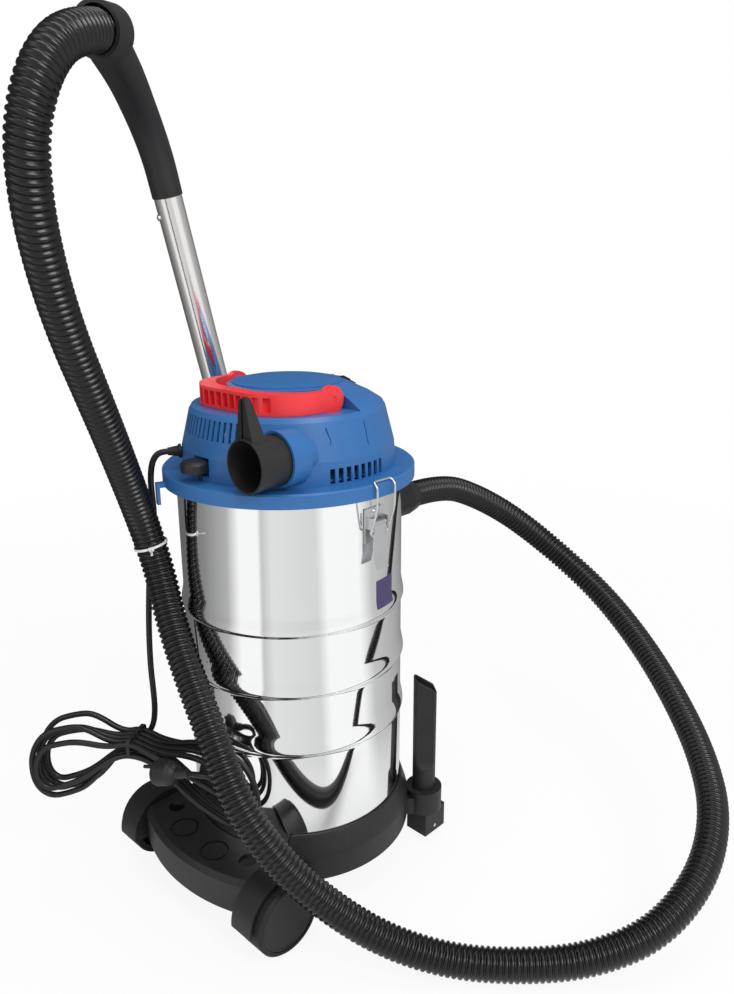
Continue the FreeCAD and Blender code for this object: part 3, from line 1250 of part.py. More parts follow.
# Grip: the bent black handle tube from the wand to the ring that the hose turns in.
GRIP_LINE = [
    (165, 54, 929, 20), (162.8, 63.6, 962.6, 20.2), (157, 79, 998, 20.6), (138, 106, 1031, 21.4),
    (103, 142, 1054, 22.4), (60, 182, 1067, 23.2), (20, 213.4, 1072, 24.4), (2.4, 224.6, 1071, 25),
]
MOUTH = Vector(*HOSE_ROUTE[-1])
MOUTH_WAY = (Vector(*HOSE_ROUTE[-2]) - MOUTH).normalize()


def grip_shape():
    points = [Vector(*p[:3]) for p in GRIP_LINE]
    curve = Part.BSplineCurve()
    curve.interpolate(points)
    outer = []
    inner = []
    steady = Vector(1, 0, 0)
    for i, (point, (x, y, z, radius)) in enumerate(zip(points, GRIP_LINE)):
        way = curve.tangent(curve.parameter(point))[0].normalize() if i else WAND_WAY * -1
        wire, steady = ring_wire(point, way, steady, radius)
        outer.append(wire)
        inner.append(ring_wire(point, way, steady, size("hose_bore") - 1)[0])
    tube = Part.makeLoft(outer, True, False).cut(Part.makeLoft(inner, True, False))
    ring = cylinder(size("socket_ring"), -12, 16)
    tube = tube.fuse(aim(ring, MOUTH, MOUTH_WAY))
    tube = tube.cut(aim(cylinder(size("hose_radius") + 2, 0, 40), MOUTH, MOUTH_WAY))
    tube = tube.cut(aim(cylinder(size("hose_bore"), -8, 2), MOUTH, MOUTH_WAY))
    spigot_r = size("wand_radius") - size("wand_wall") - 0.15
    lock = size("lock_drop")
    spigot = cylinder(spigot_r, -0.01, 42).cut(cylinder(spigot_r - 2, -1, 43))
    spigot = spigot.cut(Part.makeCylinder(size("lock_radius") + 0.3, 30, Vector(0, 0, lock), Vector(1, 0, 0)))
    return tube.fuse(on_wand(spigot))


piece("grip_elbow", shaped("grip_elbow", grip_shape()))


# Floor nozzle: a wide low head with a slot below, a swivelling neck and two brush strips.
def floor_point():
    """Where the wand's axis crosses the nozzle's pivot height."""
    return WAND_TOP + WAND_WAY * ((size("pivot_height") - WAND_TOP.z) / WAND_WAY.z)


def floor_nozzle_shape():
    pivot = floor_point()
    half = size("nozzle_width") / 2
    depth = size("nozzle_depth") / 2
    high = size("nozzle_height")
    side = [(-depth, 1.5), (-depth, 12), (-depth + 8, 17), (-12, high), (12, high), (depth - 8, 17), (depth, 12), (depth, 1.5)]
    wire = Part.makePolygon([Vector(-half, y, z) for y, z in side + side[:1]])
    body = Part.Face(wire).extrude(Vector(2 * half, 0, 0))
    slot = Part.makeBox(2 * half - 16, size("nozzle_slot"), 12, Vector(8 - half, -size("nozzle_slot") / 2, 0))
    throat = Part.makeBox(2 * size("neck_half"), size("nozzle_slot"), 30, Vector(-size("neck_half"), -size("nozzle_slot") / 2, 6))
    for y in (-depth + 5, depth - 9):
        slot = slot.fuse(Part.makeBox(2 * half - 12, 4, 4, Vector(6 - half, y, 0)))
    bed = Part.makeCylinder(size("neck_radius") + 0.4, 2 * size("neck_half") + 0.8,
                            Vector(-size("neck_half") - 0.4, 0, size("pivot_height")), Vector(1, 0, 0))
    window = Part.makeBox(2 * size("neck_half") + 0.8, depth + 10, high, Vector(-size("neck_half") - 0.4, -depth / 2 - 2, 14))
    solid = body.cut(slot).cut(throat).cut(bed).cut(window)
    for sign in (1, -1):
        cheek = Part.makeCylinder(14, 5, Vector(sign * (size("neck_half") + 0.4), 0, size("pivot_height")), Vector(sign, 0, 0))
        solid = solid.fuse(cheek)
    pins = Part.makeCylinder(4 + size("run_gap"), 3 * size("neck_half"), Vector(-1.5 * size("neck_half"), 0, size("pivot_height")),
                             Vector(1, 0, 0))
    solid = solid.cut(pins)
    solid.translate(Vector(pivot.x, pivot.y, 0))
    return solid.removeSplitter()


def nozzle_neck_shape():
    pivot = floor_point()
    half = size("neck_half")
    barrel = Part.makeCylinder(size("neck_radius"), 2 * half, Vector(pivot.x - half, pivot.y, pivot.z), Vector(1, 0, 0))
    stub = Part.makeCylinder(4, 2 * half + 9, Vector(pivot.x - half - 4.5, pivot.y, pivot.z), Vector(1, 0, 0))
    end = 2 * size("wand_length") - size("wand_insert")
    reach = (pivot - WAND_TOP).Length
    radius = size("wand_radius") - size("wand_wall") - 0.15
    collar = aim(cylinder(size("wand_radius") + 1.4, end + 0.1, reach), WAND_TOP, WAND_WAY)
    spigot = aim(cylinder(radius, end - 34, end + 4), WAND_TOP, WAND_WAY)
    bore = aim(cylinder(radius - 2.2, end - 40, reach), WAND_TOP, WAND_WAY)
    return barrel.fuse(collar).fuse(stub).fuse(spigot).cut(bore).removeSplitter()


def floor_strips_shape():
    pivot = floor_point()
    half = size("nozzle_width") / 2
    depth = size("nozzle_depth") / 2
    strips = [Part.makeBox(2 * half - 13, 3.4, 3.9, Vector(pivot.x + 6.5 - half, pivot.y + y, 0))
              for y in (-depth + 5.3, depth - 8.7)]
    return Part.makeCompound(strips)


piece("floor_nozzle", shaped("floor_nozzle", floor_nozzle_shape()))
piece("nozzle_neck", shaped("nozzle_neck", nozzle_neck_shape()))
piece("floor_strips", shaped("floor_strips", floor_strips_shape()))


# Inside the drum: the slotted cage under the head with its float ball, and the filter cartridge round it.
def cage_shape():
    radius = size("cage_radius")
    wall = size("cage_wall")
    top = size("rim_high") + size("shell")
    low = size("cage_low")
    solid = revolve([(0, low), (radius, low), (radius, top - 3), (radius + 10, top - 3), (radius + 10, top),
                     (radius - wall, top), (radius - wall, low + wall), (0, low + wall)])
    slots = radial_slots(0, 12, 30, 13, radius - 5, radius + 3, low + 12, low + 66)
    return solid.cut(slots)


piece("filter_cage", shaped("filter_cage", cage_shape()))
piece("filter_cartridge", turned("filter_cartridge", [
    ("cage_radius+0.4", "cage_low+2"), ("filter_radius", "cage_low+2"), ("filter_radius", "rim_high+shell-3.4"),
    ("cage_radius+10.6", "rim_high+shell-3.4"), ("cage_radius+10.6", "rim_high+shell-0.3"),
    ("cage_radius+10.4", "rim_high+shell-0.3"), ("cage_radius+10.4", "rim_high+shell-3.6"),
    ("cage_radius+0.4", "rim_high+shell-3.6"),
]))
float_ball = doc.addObject("Part::Sphere", "float_ball")
float_ball.setExpression("Radius", cells("float_radius"))
piece("float_ball", put(float_ball, ("0", "0", "cage_low+cage_wall+float_radius+0.3")))


# Motor: the round motor on its plate over the head's opening, its turbine below on the shaft.
def fan_shape():
    radius = size("fan_radius")
    top = size("rim_high") + 2 * size("shell") - 2
    disc = cylinder(radius, top - 1.6, top)
    hub = cylinder(size("shaft_radius") + 5, top - 10, top)
    shaft = cylinder(size("shaft_radius"), top - 10, top + 13)
    eye = cylinder(radius, top - 10, top - 8.6).cut(cylinder(radius * 0.45, top - 12, top))
    solid = disc.fuse(hub).fuse(shaft).fuse(eye)
    for i in range(9):
        blade = Part.makeBox(radius * 0.62, 1.6, 8, Vector(radius * 0.34, 0, top - 9))
        blade.rotate(Vector(radius * 0.34, 0, 0), Vector(0, 0, 1), 24)
        blade = blade.common(cylinder(radius, top - 10, top))
        blade.rotate(Vector(), Vector(0, 0, 1), 40 * i)
        solid = solid.fuse(blade)
    return solid.removeSplitter()


piece("motor", turned("motor", [
    ("shaft_radius+run_gap", "rim_high+2*shell"), ("motor_hole+8", "rim_high+2*shell"),
    ("motor_hole+8", "rim_high+2*shell+plate_thick"), ("motor_radius", "rim_high+2*shell+plate_thick"),
    ("motor_radius", "motor_high-18"), ("motor_radius-14", "motor_high-10"), ("motor_radius-14", "motor_high-4"),
    ("12", "motor_high"), ("0", "motor_high"), ("0", "rim_high+2*shell+14"), ("shaft_radius+run_gap", "rim_high+2*shell+14"),
]))
piece("motor_fan", shaped("motor_fan", fan_shape()))

# Every piece is checked, then written under its own name.
doc.recompute()
for item in doc.Objects:
    if "Invalid" in item.State or "Error" in item.State:
        raise RuntimeError(f"{item.Label} failed: {item.State}")
for label, feature in PIECES.items():
    shape = feature.Shape
    if shape.isNull() or not shape.isValid() or not shape.Solids:
        raise RuntimeError(f"{label} has no valid solid")
os.makedirs("parts", exist_ok=True)
for label, feature in PIECES.items():
    feature.Shape.exportStep(f"parts/{label}.step")
print(f"{len(PIECES)} pieces, {sum(len(f.Shape.Solids) for f in PIECES.values())} solids")
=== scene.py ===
import math

import bmesh
import bpy
from mathutils import Matrix, Vector


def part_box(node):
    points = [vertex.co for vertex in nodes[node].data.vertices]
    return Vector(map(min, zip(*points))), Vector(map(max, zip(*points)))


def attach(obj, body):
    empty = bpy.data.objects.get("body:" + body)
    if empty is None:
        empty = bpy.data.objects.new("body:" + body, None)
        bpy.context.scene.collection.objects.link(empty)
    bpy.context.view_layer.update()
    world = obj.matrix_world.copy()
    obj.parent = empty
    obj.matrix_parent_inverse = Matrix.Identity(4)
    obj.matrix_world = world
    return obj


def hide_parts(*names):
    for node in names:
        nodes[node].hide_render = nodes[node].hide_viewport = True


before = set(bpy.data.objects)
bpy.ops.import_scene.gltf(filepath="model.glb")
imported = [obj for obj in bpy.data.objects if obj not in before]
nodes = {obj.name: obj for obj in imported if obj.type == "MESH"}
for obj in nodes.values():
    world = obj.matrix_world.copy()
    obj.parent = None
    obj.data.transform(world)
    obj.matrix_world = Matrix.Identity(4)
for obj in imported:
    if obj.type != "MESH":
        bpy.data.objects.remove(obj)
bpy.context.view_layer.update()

# Camera.
# It stands behind the machine on its blower side, a little above the head, and looks down at it
# with a normal lens, upright but for a quarter of a degree.
CAMERA_PLACE = Vector((-0.8415, 0.7227, 0.8684))
CAMERA_LOOKS_DOWN = 0.290
CAMERA_TURN = math.radians(-136)
CAMERA_ROLL = -0.0044
CAMERA_LENS = 41.69

camera_data = bpy.data.cameras.new("camera")
camera_data.sensor_fit = "HORIZONTAL"
camera_data.sensor_width = 36
camera_data.lens = CAMERA_LENS
camera_data.clip_start = 0.02
camera_data.clip_end = 50
camera = bpy.data.objects.new("camera", camera_data)
tilted = Matrix.Rotation(math.radians(90) - CAMERA_LOOKS_DOWN, 4, "X") @ Matrix.Rotation(CAMERA_ROLL, 4, "Z")
camera.matrix_world = Matrix.Translation(CAMERA_PLACE) @ Matrix.Rotation(CAMERA_TURN, 4, "Z") @ tilted
bpy.context.scene.collection.objects.link(camera)
bpy.context.scene.camera = camera
bpy.context.scene.view_settings.view_transform = "Standard"


# Suction hose.
# A black ribbed plastic tube, wound as one long spiral rib with a soft skin between. It is pushed
# into its cuff at the inlet, lies out over the floor and rises to the ring in the grip.
HOSE_POINTS = [
    (0, -0.245, 0.489), (0, -0.325, 0.489), (-0.010, -0.405, 0.456), (-0.042, -0.475, 0.408),
    (-0.105, -0.528, 0.342), (-0.195, -0.532, 0.287), (-0.287, -0.500, 0.237), (-0.372, -0.448, 0.192),
    (-0.447, -0.380, 0.158), (-0.503, -0.300, 0.132), (-0.526, -0.213, 0.098), (-0.510, -0.130, 0.058),
    (-0.460, -0.062, 0.031), (-0.397, 0, 0.023), (-0.330, 0.055, 0.025), (-0.265, 0.105, 0.050),
    (-0.208, 0.148, 0.098), (-0.160, 0.182, 0.155), (-0.115, 0.200, 0.220), (-0.062, 0.192, 0.283),
    (-0.003, 0.181, 0.340), (0.048, 0.170, 0.398), (0.080, 0.162, 0.460), (0.092, 0.174, 0.528),
    (0.0754, 0.2015, 0.594), (0.052, 0.231, 0.654), (0.029, 0.2615, 0.714), (0.0073, 0.2925, 0.777),
    (-0.016, 0.319, 0.841), (-0.0447, 0.3415, 0.905), (-0.067, 0.350, 0.967), (-0.0695, 0.329, 1.024),
    (-0.050, 0.285, 1.058), (-0.015, 0.234, 1.068),
]
HOSE_RADIUS = 0.0205
HOSE_VALLEY = 0.0177
RIB_PITCH = 0.0074
RINGS_A_RIB = 8
HOSE_SIDES = 24
SAME_POINT = 0.00002


def nurbs_route(name, points, fineness=14):
    """A smooth open spline that has the route's points as its control points."""
    data = bpy.data.curves.new(name, "CURVE")
    data.dimensions = "3D"
    data.resolution_u = fineness
    spline = data.splines.new("NURBS")
    spline.points.add(len(points) - 1)
    for slot, point in zip(spline.points, points):
        slot.co = (*point, 1)
    spline.order_u = 3
    spline.use_endpoint_u = True
    return data


def line_of(data):
    """The points of a curve's own line, in order, and the length up to each."""
    holder = bpy.data.objects.new("line", data)
    bpy.context.scene.collection.objects.link(holder)
    bpy.context.view_layer.update()
    seen = holder.evaluated_get(bpy.context.evaluated_depsgraph_get())
    line = bpy.data.meshes.new_from_object(seen)
    points = [v.co.copy() for v in line.vertices]
    bpy.data.objects.remove(holder)
    bpy.data.meshes.remove(line)
    reach = [0.0]
    for a, b in zip(points, points[1:]):
        reach.append(reach[-1] + (b - a).length)
    return points, reach


def frames_along(points, reach, count):
    """Evenly spaced points on a line, each with its direction and two steady sides square to it."""
    marks = []
    k = 0
    side = None
    for i in range(count + 1):
        want = reach[-1] * i / count
        while k < len(points) - 2 and reach[k + 1] < want:
            k += 1
        share = (want - reach[k]) / max(reach[k + 1] - reach[k], 1e-9)
        place = points[k].lerp(points[k + 1], share)
        before = points[max(k - 1, 0)]
        after = points[min(k + 2, len(points) - 1)]
        way = (points[k + 1] - before).normalized().lerp((after - points[k]).normalized(), share).normalized()
        if side is None:
            side = way.orthogonal().normalized()
        side = (side - way * side.dot(way)).normalized()
        marks.append((place, way, side, way.cross(side)))
    return marks


def new_piece(name, mesh, material, smooth=True):
    """Links a finished mesh as an object at the origin."""
    if smooth:
        mesh.shade_smooth()
    piece = bpy.data.objects.new(name, mesh)
    piece.data.materials.append(material)
    bpy.context.scene.collection.objects.link(piece)
    return piece


def mesh_from(build, name):
    """Ends a bmesh: faces point outwards, and the result is a mesh."""
    bmesh.ops.recalc_face_normals(build, faces=build.faces)
    mesh = bpy.data.meshes.new(name)
    build.to_mesh(mesh)
    build.free()
    return mesh


def surface_group():
    """Grain, mottle and dust that every finish uses, at scales that the finish sets."""
    group = bpy.data.node_groups.new("surface", "ShaderNodeTree")
    face = group.interface
    face.new_socket("Place", in_out="INPUT", socket_type="NodeSocketVector")
    for name, value in (("Grain Scale", 900), ("Mottle Scale", 9), ("Dust Low", 0.55), ("Dust High", 0.75)):
        face.new_socket(name, in_out="INPUT", socket_type="NodeSocketFloat").default_value = value
    for name in ("Grain", "Mottle", "Dust"):
        face.new_socket(name, in_out="OUTPUT", socket_type="NodeSocketFloat")
    put = group.nodes.new
    start = put("NodeGroupInput")
    end = put("NodeGroupOutput")
    link = group.links.new
    grain = put("ShaderNodeTexNoise")
    grain.inputs["Detail"].default_value = 2
    link(start.outputs["Place"], grain.inputs["Vector"])
    link(start.outputs["Grain Scale"], grain.inputs["Scale"])
    link(grain.outputs["Fac"], end.inputs["Grain"])
    mottle = put("ShaderNodeTexNoise")
    mottle.inputs["Detail"].default_value = 4
    mottle.inputs["Roughness"].default_value = 0.6
    link(start.outputs["Place"], mottle.inputs["Vector"])
    link(start.outputs["Mottle Scale"], mottle.inputs["Scale"])
    link(mottle.outputs["Fac"], end.inputs["Mottle"])
    specks = put("ShaderNodeTexNoise")
    specks.inputs["Scale"].default_value = 60
    specks.inputs["Detail"].default_value = 5
    specks.inputs["Roughness"].default_value = 0.7
    link(start.outputs["Place"], specks.inputs["Vector"])
    span = put("ShaderNodeMapRange")
    link(specks.outputs["Fac"], span.inputs["Value"])
    link(start.outputs["Dust Low"], span.inputs["From Min"])
    link(start.outputs["Dust High"], span.inputs["From Max"])
    link(span.outputs["Result"], end.inputs["Dust"])
    return group


SURFACE = surface_group()


def new_finish(name, dark, light, rough, grain, mottle, metal=0.0, dust=None, stretch=None, specular=0.5):
    """A Principled finish whose colour, roughness and fine relief vary over the surface.

    grain is the scale and depth of the relief in metres, dust its colour and most share.
    """
    material = bpy.data.materials.new(name)
    material.use_nodes = True
    tree = material.node_tree
    put = tree.nodes.new
    link = tree.links.new
    shader = tree.nodes["Principled BSDF"]
    shader.inputs["Metallic"].default_value = metal
    shader.inputs["Specular IOR Level"].default_value = specular
    place = put("ShaderNodeTexCoord")
    surface = put("ShaderNodeGroup")
    surface.node_tree = SURFACE
    surface.inputs["Grain Scale"].default_value = grain[0]
    surface.inputs["Mottle Scale"].default_value = mottle
    if stretch:
        spread = put("ShaderNodeMapping")
        spread.inputs["Scale"].default_value = stretch
        link(place.outputs["Object"], spread.inputs["Vector"])
        link(spread.outputs["Vector"], surface.inputs["Place"])
    else:
        link(place.outputs["Object"], surface.inputs["Place"])
    tone = put("ShaderNodeMix")
    tone.data_type = "RGBA"
    tone.inputs["A"].default_value = (*dark, 1)
    tone.inputs["B"].default_value = (*light, 1)
    link(surface.outputs["Mottle"], tone.inputs["Factor"])
    colour = tone.outputs["Result"]
    if dust:
        powder = put("ShaderNodeMix")
        powder.data_type = "RGBA"
        powder.inputs["B"].default_value = (*dust[0], 1)
        share = put("ShaderNodeMath")
        share.operation = "MULTIPLY"
        share.inputs[1].default_value = dust[1]
        link(surface.outputs["Dust"], share.inputs[0])
        link(share.outputs["Value"], powder.inputs["Factor"])
        link(colour, powder.inputs["A"])
        colour = powder.outputs["Result"]
    link(colour, shader.inputs["Base Color"])
    gloss = put("ShaderNodeMapRange")
    gloss.inputs["To Min"].default_value = rough[0]
    gloss.inputs["To Max"].default_value = rough[1]
    link(surface.outputs["Mottle"], gloss.inputs["Value"])
    link(gloss.outputs["Result"], shader.inputs["Roughness"])
    relief = put("ShaderNodeBump")
    relief.inputs["Strength"].default_value = 1.0
    relief.inputs["Distance"].default_value = grain[1]
    link(surface.outputs["Grain"], relief.inputs["Height"])
    link(relief.outputs["Normal"], shader.inputs["Normal"])
    return material


hose_black = new_finish("hose black", (0.003, 0.003, 0.003), (0.007, 0.007, 0.007), (0.20, 0.30), grain=(700, 0.00003),
                        mottle=30, dust=((0.12, 0.12, 0.12), 0.03), specular=0.42)
hose_line, hose_reach = line_of(nurbs_route("hose line", HOSE_POINTS))
hose_length = hose_reach[-1]
rib_count = round(hose_length / RIB_PITCH)
ring_count = rib_count * RINGS_A_RIB
build = bmesh.new()
bmesh.ops.create_grid(build, x_segments=ring_count, y_segments=HOSE_SIDES, size=1)
hose_marks = frames_along(hose_line, hose_reach, ring_count)
# The rib is a spiral: its crest moves round the hose once a pitch, and is wider than the valley.
middle = (HOSE_RADIUS + HOSE_VALLEY) / 2
swell = (HOSE_RADIUS - HOSE_VALLEY) / 2
for vertex in build.verts:
    step = (vertex.co.x + 1) / 2 * ring_count
    angle = (vertex.co.y + 1) * math.pi
    place, way, side, other = hose_marks[round(step)]
    wave = math.cos(2 * math.pi * step / RINGS_A_RIB + angle)
    radius = middle + swell * (1 - 2 * ((1 - wave) / 2) ** 2)
    vertex.co = place + (side * math.cos(angle) + other * math.sin(angle)) * radius
bmesh.ops.remove_doubles(build, verts=build.verts, dist=SAME_POINT)
bmesh.ops.holes_fill(build, edges=[e for e in build.edges if e.is_boundary], sides=0)
hose = new_piece("suction_hose_ribbed", mesh_from(build, "suction_hose_ribbed"), hose_black)
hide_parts("suction_hose")
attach(hose, "trolley")


# Mains lead.
# A round black rubber cable. It leaves the gland in the head, hangs down beside the drum and is
# gathered behind the machine into one loose hank with a tie round its waist and a plug at its end.
LEAD_RADIUS = 0.004
LEAD_POINTS = [
    (0.079, 0.13683, 0.614), (0.084, 0.14549, 0.614), (0.089, 0.152, 0.606), (0.092, 0.155, 0.593),
    (0.094, 0.156, 0.574), (0.0975, 0.153, 0.550), (0.1025, 0.1495, 0.524), (0.1085, 0.1505, 0.496),
    (0.1135, 0.1545, 0.463), (0.116, 0.1585, 0.418), (0.114, 0.165, 0.362), (0.103, 0.1735, 0.312),
    (0.0982, 0.1749, 0.279), (0.0982, 0.1749, 0.248), (0.0984, 0.180, 0.225),
]
HANK_CENTRE = Vector((0.094, 0.2096, 0.218))
HANK_LEFT = Vector((0.679, 0.692, -0.243))
HANK_RIGHT = Vector((-0.950, -0.249, -0.186))
HANK_ACROSS = Vector((-0.502, 0.865, 0))
HANK_STEP = 0.0095
HANK_LOOPS = 5
HANK_TALL = 0.108
HANK_REACH_LEFT = 0.145
HANK_REACH_RIGHT = 0.204
HANK_WAIST = 0.017
PLUG_START = Vector((-0.038, 0.214, 0.230))
PLUG_WAY = Vector((0.93, 0.26, -0.26)).normalized()
TAIL_REACH = 0.128


def hank_spot(way, along, high, layer):
    """A point of the hank: so far out along one of its two ends, so high, in one of its layers."""
    across = HANK_ACROSS * ((layer - (HANK_LOOPS - 1) / 2) * HANK_STEP)
    return HANK_CENTRE + way * along + Vector((0, 0, high)) + across


def half_loop(way, reach, radius, layer, first):
    """One end of a loop: out from the waist on the first side, round the bow and back on the other."""
    half = HANK_WAIST / 2 * first
    side = radius * first
    return [
        hank_spot(way, 0, half, layer), hank_spot(way, reach * 0.30, half * 1.1, layer),
        hank_spot(way, reach * 0.72, side * 0.92, layer), hank_spot(way, reach, side * 1.02, layer),
        hank_spot(way, reach + radius * 0.62, side, layer),
        hank_spot(way, reach + radius * 1.03, side * 0.45, layer),
        hank_spot(way, reach + radius * 1.03, -side * 0.45, layer),
        hank_spot(way, reach + radius * 0.62, -side, layer),
        hank_spot(way, reach, -side * 1.02, layer), hank_spot(way, reach * 0.72, -side * 0.92, layer),
        hank_spot(way, reach * 0.30, -half * 1.1, layer),
    ]


lead_route = [Vector(p) for p in LEAD_POINTS]
for i in range(HANK_LOOPS):
    swing = math.cos(2.4 * i)
    left_radius = HANK_TALL * (0.79 + 0.2 * swing) / 2
    right_radius = HANK_TALL * (0.8 - 0.18 * swing) / 2
    left_reach = HANK_REACH_LEFT * (0.95 + 0.05 * swing) - left_radius
    right_reach = HANK_REACH_RIGHT * (0.93 - 0.07 * swing) - right_radius
    lead_route += half_loop(HANK_LEFT, left_reach, left_radius, i, -1)
    if i < HANK_LOOPS - 1:
        lead_route += half_loop(HANK_RIGHT, right_reach, right_radius, i, 1)
last = HANK_LOOPS - 1
tail = hank_spot(HANK_RIGHT, TAIL_REACH, 0.010, last)
lead_route += [
    hank_spot(HANK_RIGHT, 0, HANK_WAIST / 2, last), hank_spot(HANK_RIGHT, 0.04, 0.010, last),
    hank_spot(HANK_RIGHT, 0.085, 0.010, last), tail, tail + HANK_RIGHT * 0.022,
    tail.lerp(PLUG_START, 0.35) + HANK_RIGHT * 0.040, tail.lerp(PLUG_START, 0.70) - PLUG_WAY * 0.038,
    PLUG_START - PLUG_WAY * 0.022, PLUG_START,
]
cable_rubber = new_finish("cable rubber", (0.006, 0.006, 0.007), (0.013, 0.013, 0.014), (0.30, 0.44),
                          grain=(1600, 0.00002), mottle=40, dust=((0.2, 0.2, 0.2), 0.04), specular=0.4)
lead_data = nurbs_route("mains_lead", lead_route, fineness=8)
lead_line, lead_reach = line_of(lead_data.copy())
lead_data.bevel_depth = LEAD_RADIUS
lead_data.bevel_resolution = 4
lead_data.use_fill_caps = True
lead_data.materials.append(cable_rubber)
lead = bpy.data.objects.new("mains_lead", lead_data)
bpy.context.scene.collection.objects.link(lead)
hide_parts("power_cord", "cord_hank")
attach(lead, "trolley")


# Drum.
# Thin polished stainless sheet, rolled and welded, with three beads that stiffen it, each sharp
# below and faded out above, and a curled top edge under the head's rim. It stands in the trolley.
DRUM_SIDES = 192
DRUM_RADIUS = 0.150
DRUM_SHEET = 0.0008
DRUM_FLOOR_TOP = 0.062
BEAD_FOOT = (0.233, 0.317, 0.401)
drum_profile = [(0, 0.061), (0.10, 0.061), (0.142, 0.061), (0.1462, 0.0618), (0.1486, 0.0645), (0.1497, 0.069)]
for foot in BEAD_FOOT:
    drum_profile += [
        (DRUM_RADIUS, foot - 0.007), (0.14985, foot - 0.0032), (0.1498, foot - 0.0012), (0.1503, foot + 0.0002),
        (0.1517, foot + 0.0016), (0.1529, foot + 0.0032), (0.1535, foot + 0.0052), (0.1535, foot + 0.0074),
        (0.1531, foot + 0.0104), (0.1524, foot + 0.0142), (0.1515, foot + 0.0184), (0.1507, foot + 0.0230),
        (0.1502, foot + 0.0266), (DRUM_RADIUS, foot + 0.0300),
    ]
drum_profile += [
    (DRUM_RADIUS, 0.578), (0.1505, 0.5799), (0.1518, 0.5812), (0.1526, 0.5828), (0.1526, 0.5846), (0.1516, 0.585),
]
drum_inside = [(radius - DRUM_SHEET, height + (DRUM_SHEET if height < DRUM_FLOOR_TOP else 0))
               for radius, height in drum_profile[:1:-1]]
steel = new_finish("polished steel", (0.90, 0.905, 0.912), (0.95, 0.953, 0.957), (0.03, 0.06), metal=1.0,
                   grain=(260, 0.000004), mottle=5, stretch=(1, 1, 0.25))
build = bmesh.new()
rim = [build.verts.new((radius, 0, height)) for radius, height in drum_profile + drum_inside]
edges = [build.edges.new(pair) for pair in zip(rim, rim[1:])]
bmesh.ops.spin(build, geom=rim + edges, cent=(0, 0, 0), axis=(0, 0, 1), angle=2 * math.pi, steps=DRUM_SIDES,
               use_merge=True)
bmesh.ops.remove_doubles(build, verts=build.verts, dist=0.000005)
drum = new_piece("drum_shell", mesh_from(build, "drum_shell"), steel)
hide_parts("drum")
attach(drum, "trolley")


# Plastic mouldings.
# The rim and cover are blue polypropylene, the carry handle is red, and the trolley, nozzles, grip
# and knob are black with a fine spark-eroded grain. Each keeps its shape from the CAD.
def finish_nodes(material, *names):
    """Gives CAD nodes that keep their shape a material."""
    for name in names:
        nodes[name].material_slots[0].material = material


blue = new_finish("head blue", (0.022, 0.128, 0.36), (0.030, 0.160, 0.43), (0.34, 0.44), grain=(1100, 0.00003),
                  mottle=6, dust=((0.35, 0.45, 0.6), 0.04))
red = new_finish("handle red", (0.90, 0.032, 0.040), (0.98, 0.050, 0.058), (0.30, 0.40), grain=(1100, 0.00002),
                 mottle=8)
black = new_finish("moulded black", (0.011, 0.011, 0.012), (0.020, 0.020, 0.021), (0.40, 0.54), grain=(900, 0.00005),
                   mottle=12, dust=((0.25, 0.25, 0.26), 0.03), specular=0.42)
smooth_black = new_finish("smooth black", (0.007, 0.007, 0.008), (0.013, 0.013, 0.014), (0.24, 0.34),
                          grain=(1200, 0.00002), mottle=14, specular=0.38)
finish_nodes(blue, "head_base", "head_cover", "top_disc")
finish_nodes(red, "carry_handle", "handle_pins")
finish_nodes(black, "trolley_base", "corner_nozzle", "grip_elbow", "floor_nozzle", "nozzle_neck", "shaker_knob",
             "inlet_fitting", "inlet_nut", "caster_fork_left", "caster_fork_right", "filter_cage", "mains_plug",
             "hank_tie")
finish_nodes(smooth_black, "hose_cuff", "wheel_cap_left", "wheel_cap_right", "switch_frame", "switch_rocker")


# Crevice nozzle.
# One hollow moulding of black polypropylene. Its foot is round and stands in the trolley's ear, a
# scoop leads to its two flat sides, and its mouth is cut off at a slant.
crevice_low, crevice_high = (Vector(corner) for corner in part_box("crevice_nozzle"))
CREVICE_RADIUS = 0.017
CREVICE_WALL = 0.0018
CREVICE_SIDES = 80
CREVICE_RINGS = 80
SCOOP_START, SCOOP_END = 0.052, 0.068
FLAT_HALF = 0.0112
MOUTH_DROP = 0.021
MOUTH_CORNER = 0.004
MOUTH_TURN = math.radians(135)
crevice_tall = crevice_high.z - crevice_low.z
build = bmesh.new()
bmesh.ops.create_circle(build, cap_ends=False, segments=CREVICE_SIDES, radius=CREVICE_RADIUS)
edges = build.edges[:]
for _ in range(CREVICE_RINGS):
    grown = bmesh.ops.extrude_edge_only(build, edges=edges)["geom"]
    edges = [part for part in grown if isinstance(part, bmesh.types.BMEdge)]
    tops = [part for part in grown if isinstance(part, bmesh.types.BMVert)]
    bmesh.ops.translate(build, verts=tops, vec=(0, 0, crevice_tall / CREVICE_RINGS))
for vertex in build.verts:
    scoop = min(max((vertex.co.z - SCOOP_START) / (SCOOP_END - SCOOP_START), 0), 1)
    half = CREVICE_RADIUS + (FLAT_HALF - CREVICE_RADIUS) * math.sin(scoop * math.pi / 2)
    vertex.co.x = min(max(vertex.co.x, -half), half)
slant = ((0, -CREVICE_RADIUS, crevice_tall), (0, MOUTH_DROP, 2 * CREVICE_RADIUS))
corner = ((0, CREVICE_RADIUS - MOUTH_CORNER, crevice_tall - MOUTH_DROP + 0.0015), (0, 1.6, 1))
for place, way in (slant, corner):
    bmesh.ops.bisect_plane(build, geom=build.verts[:] + build.edges[:] + build.faces[:], plane_co=place, plane_no=way,
                           clear_outer=True)
bmesh.ops.remove_doubles(build, verts=build.verts, dist=SAME_POINT)
bmesh.ops.rotate(build, verts=build.verts, cent=(0, 0, 0), matrix=Matrix.Rotation(MOUTH_TURN, 3, "Z"))
socket = (crevice_low + crevice_high) / 2
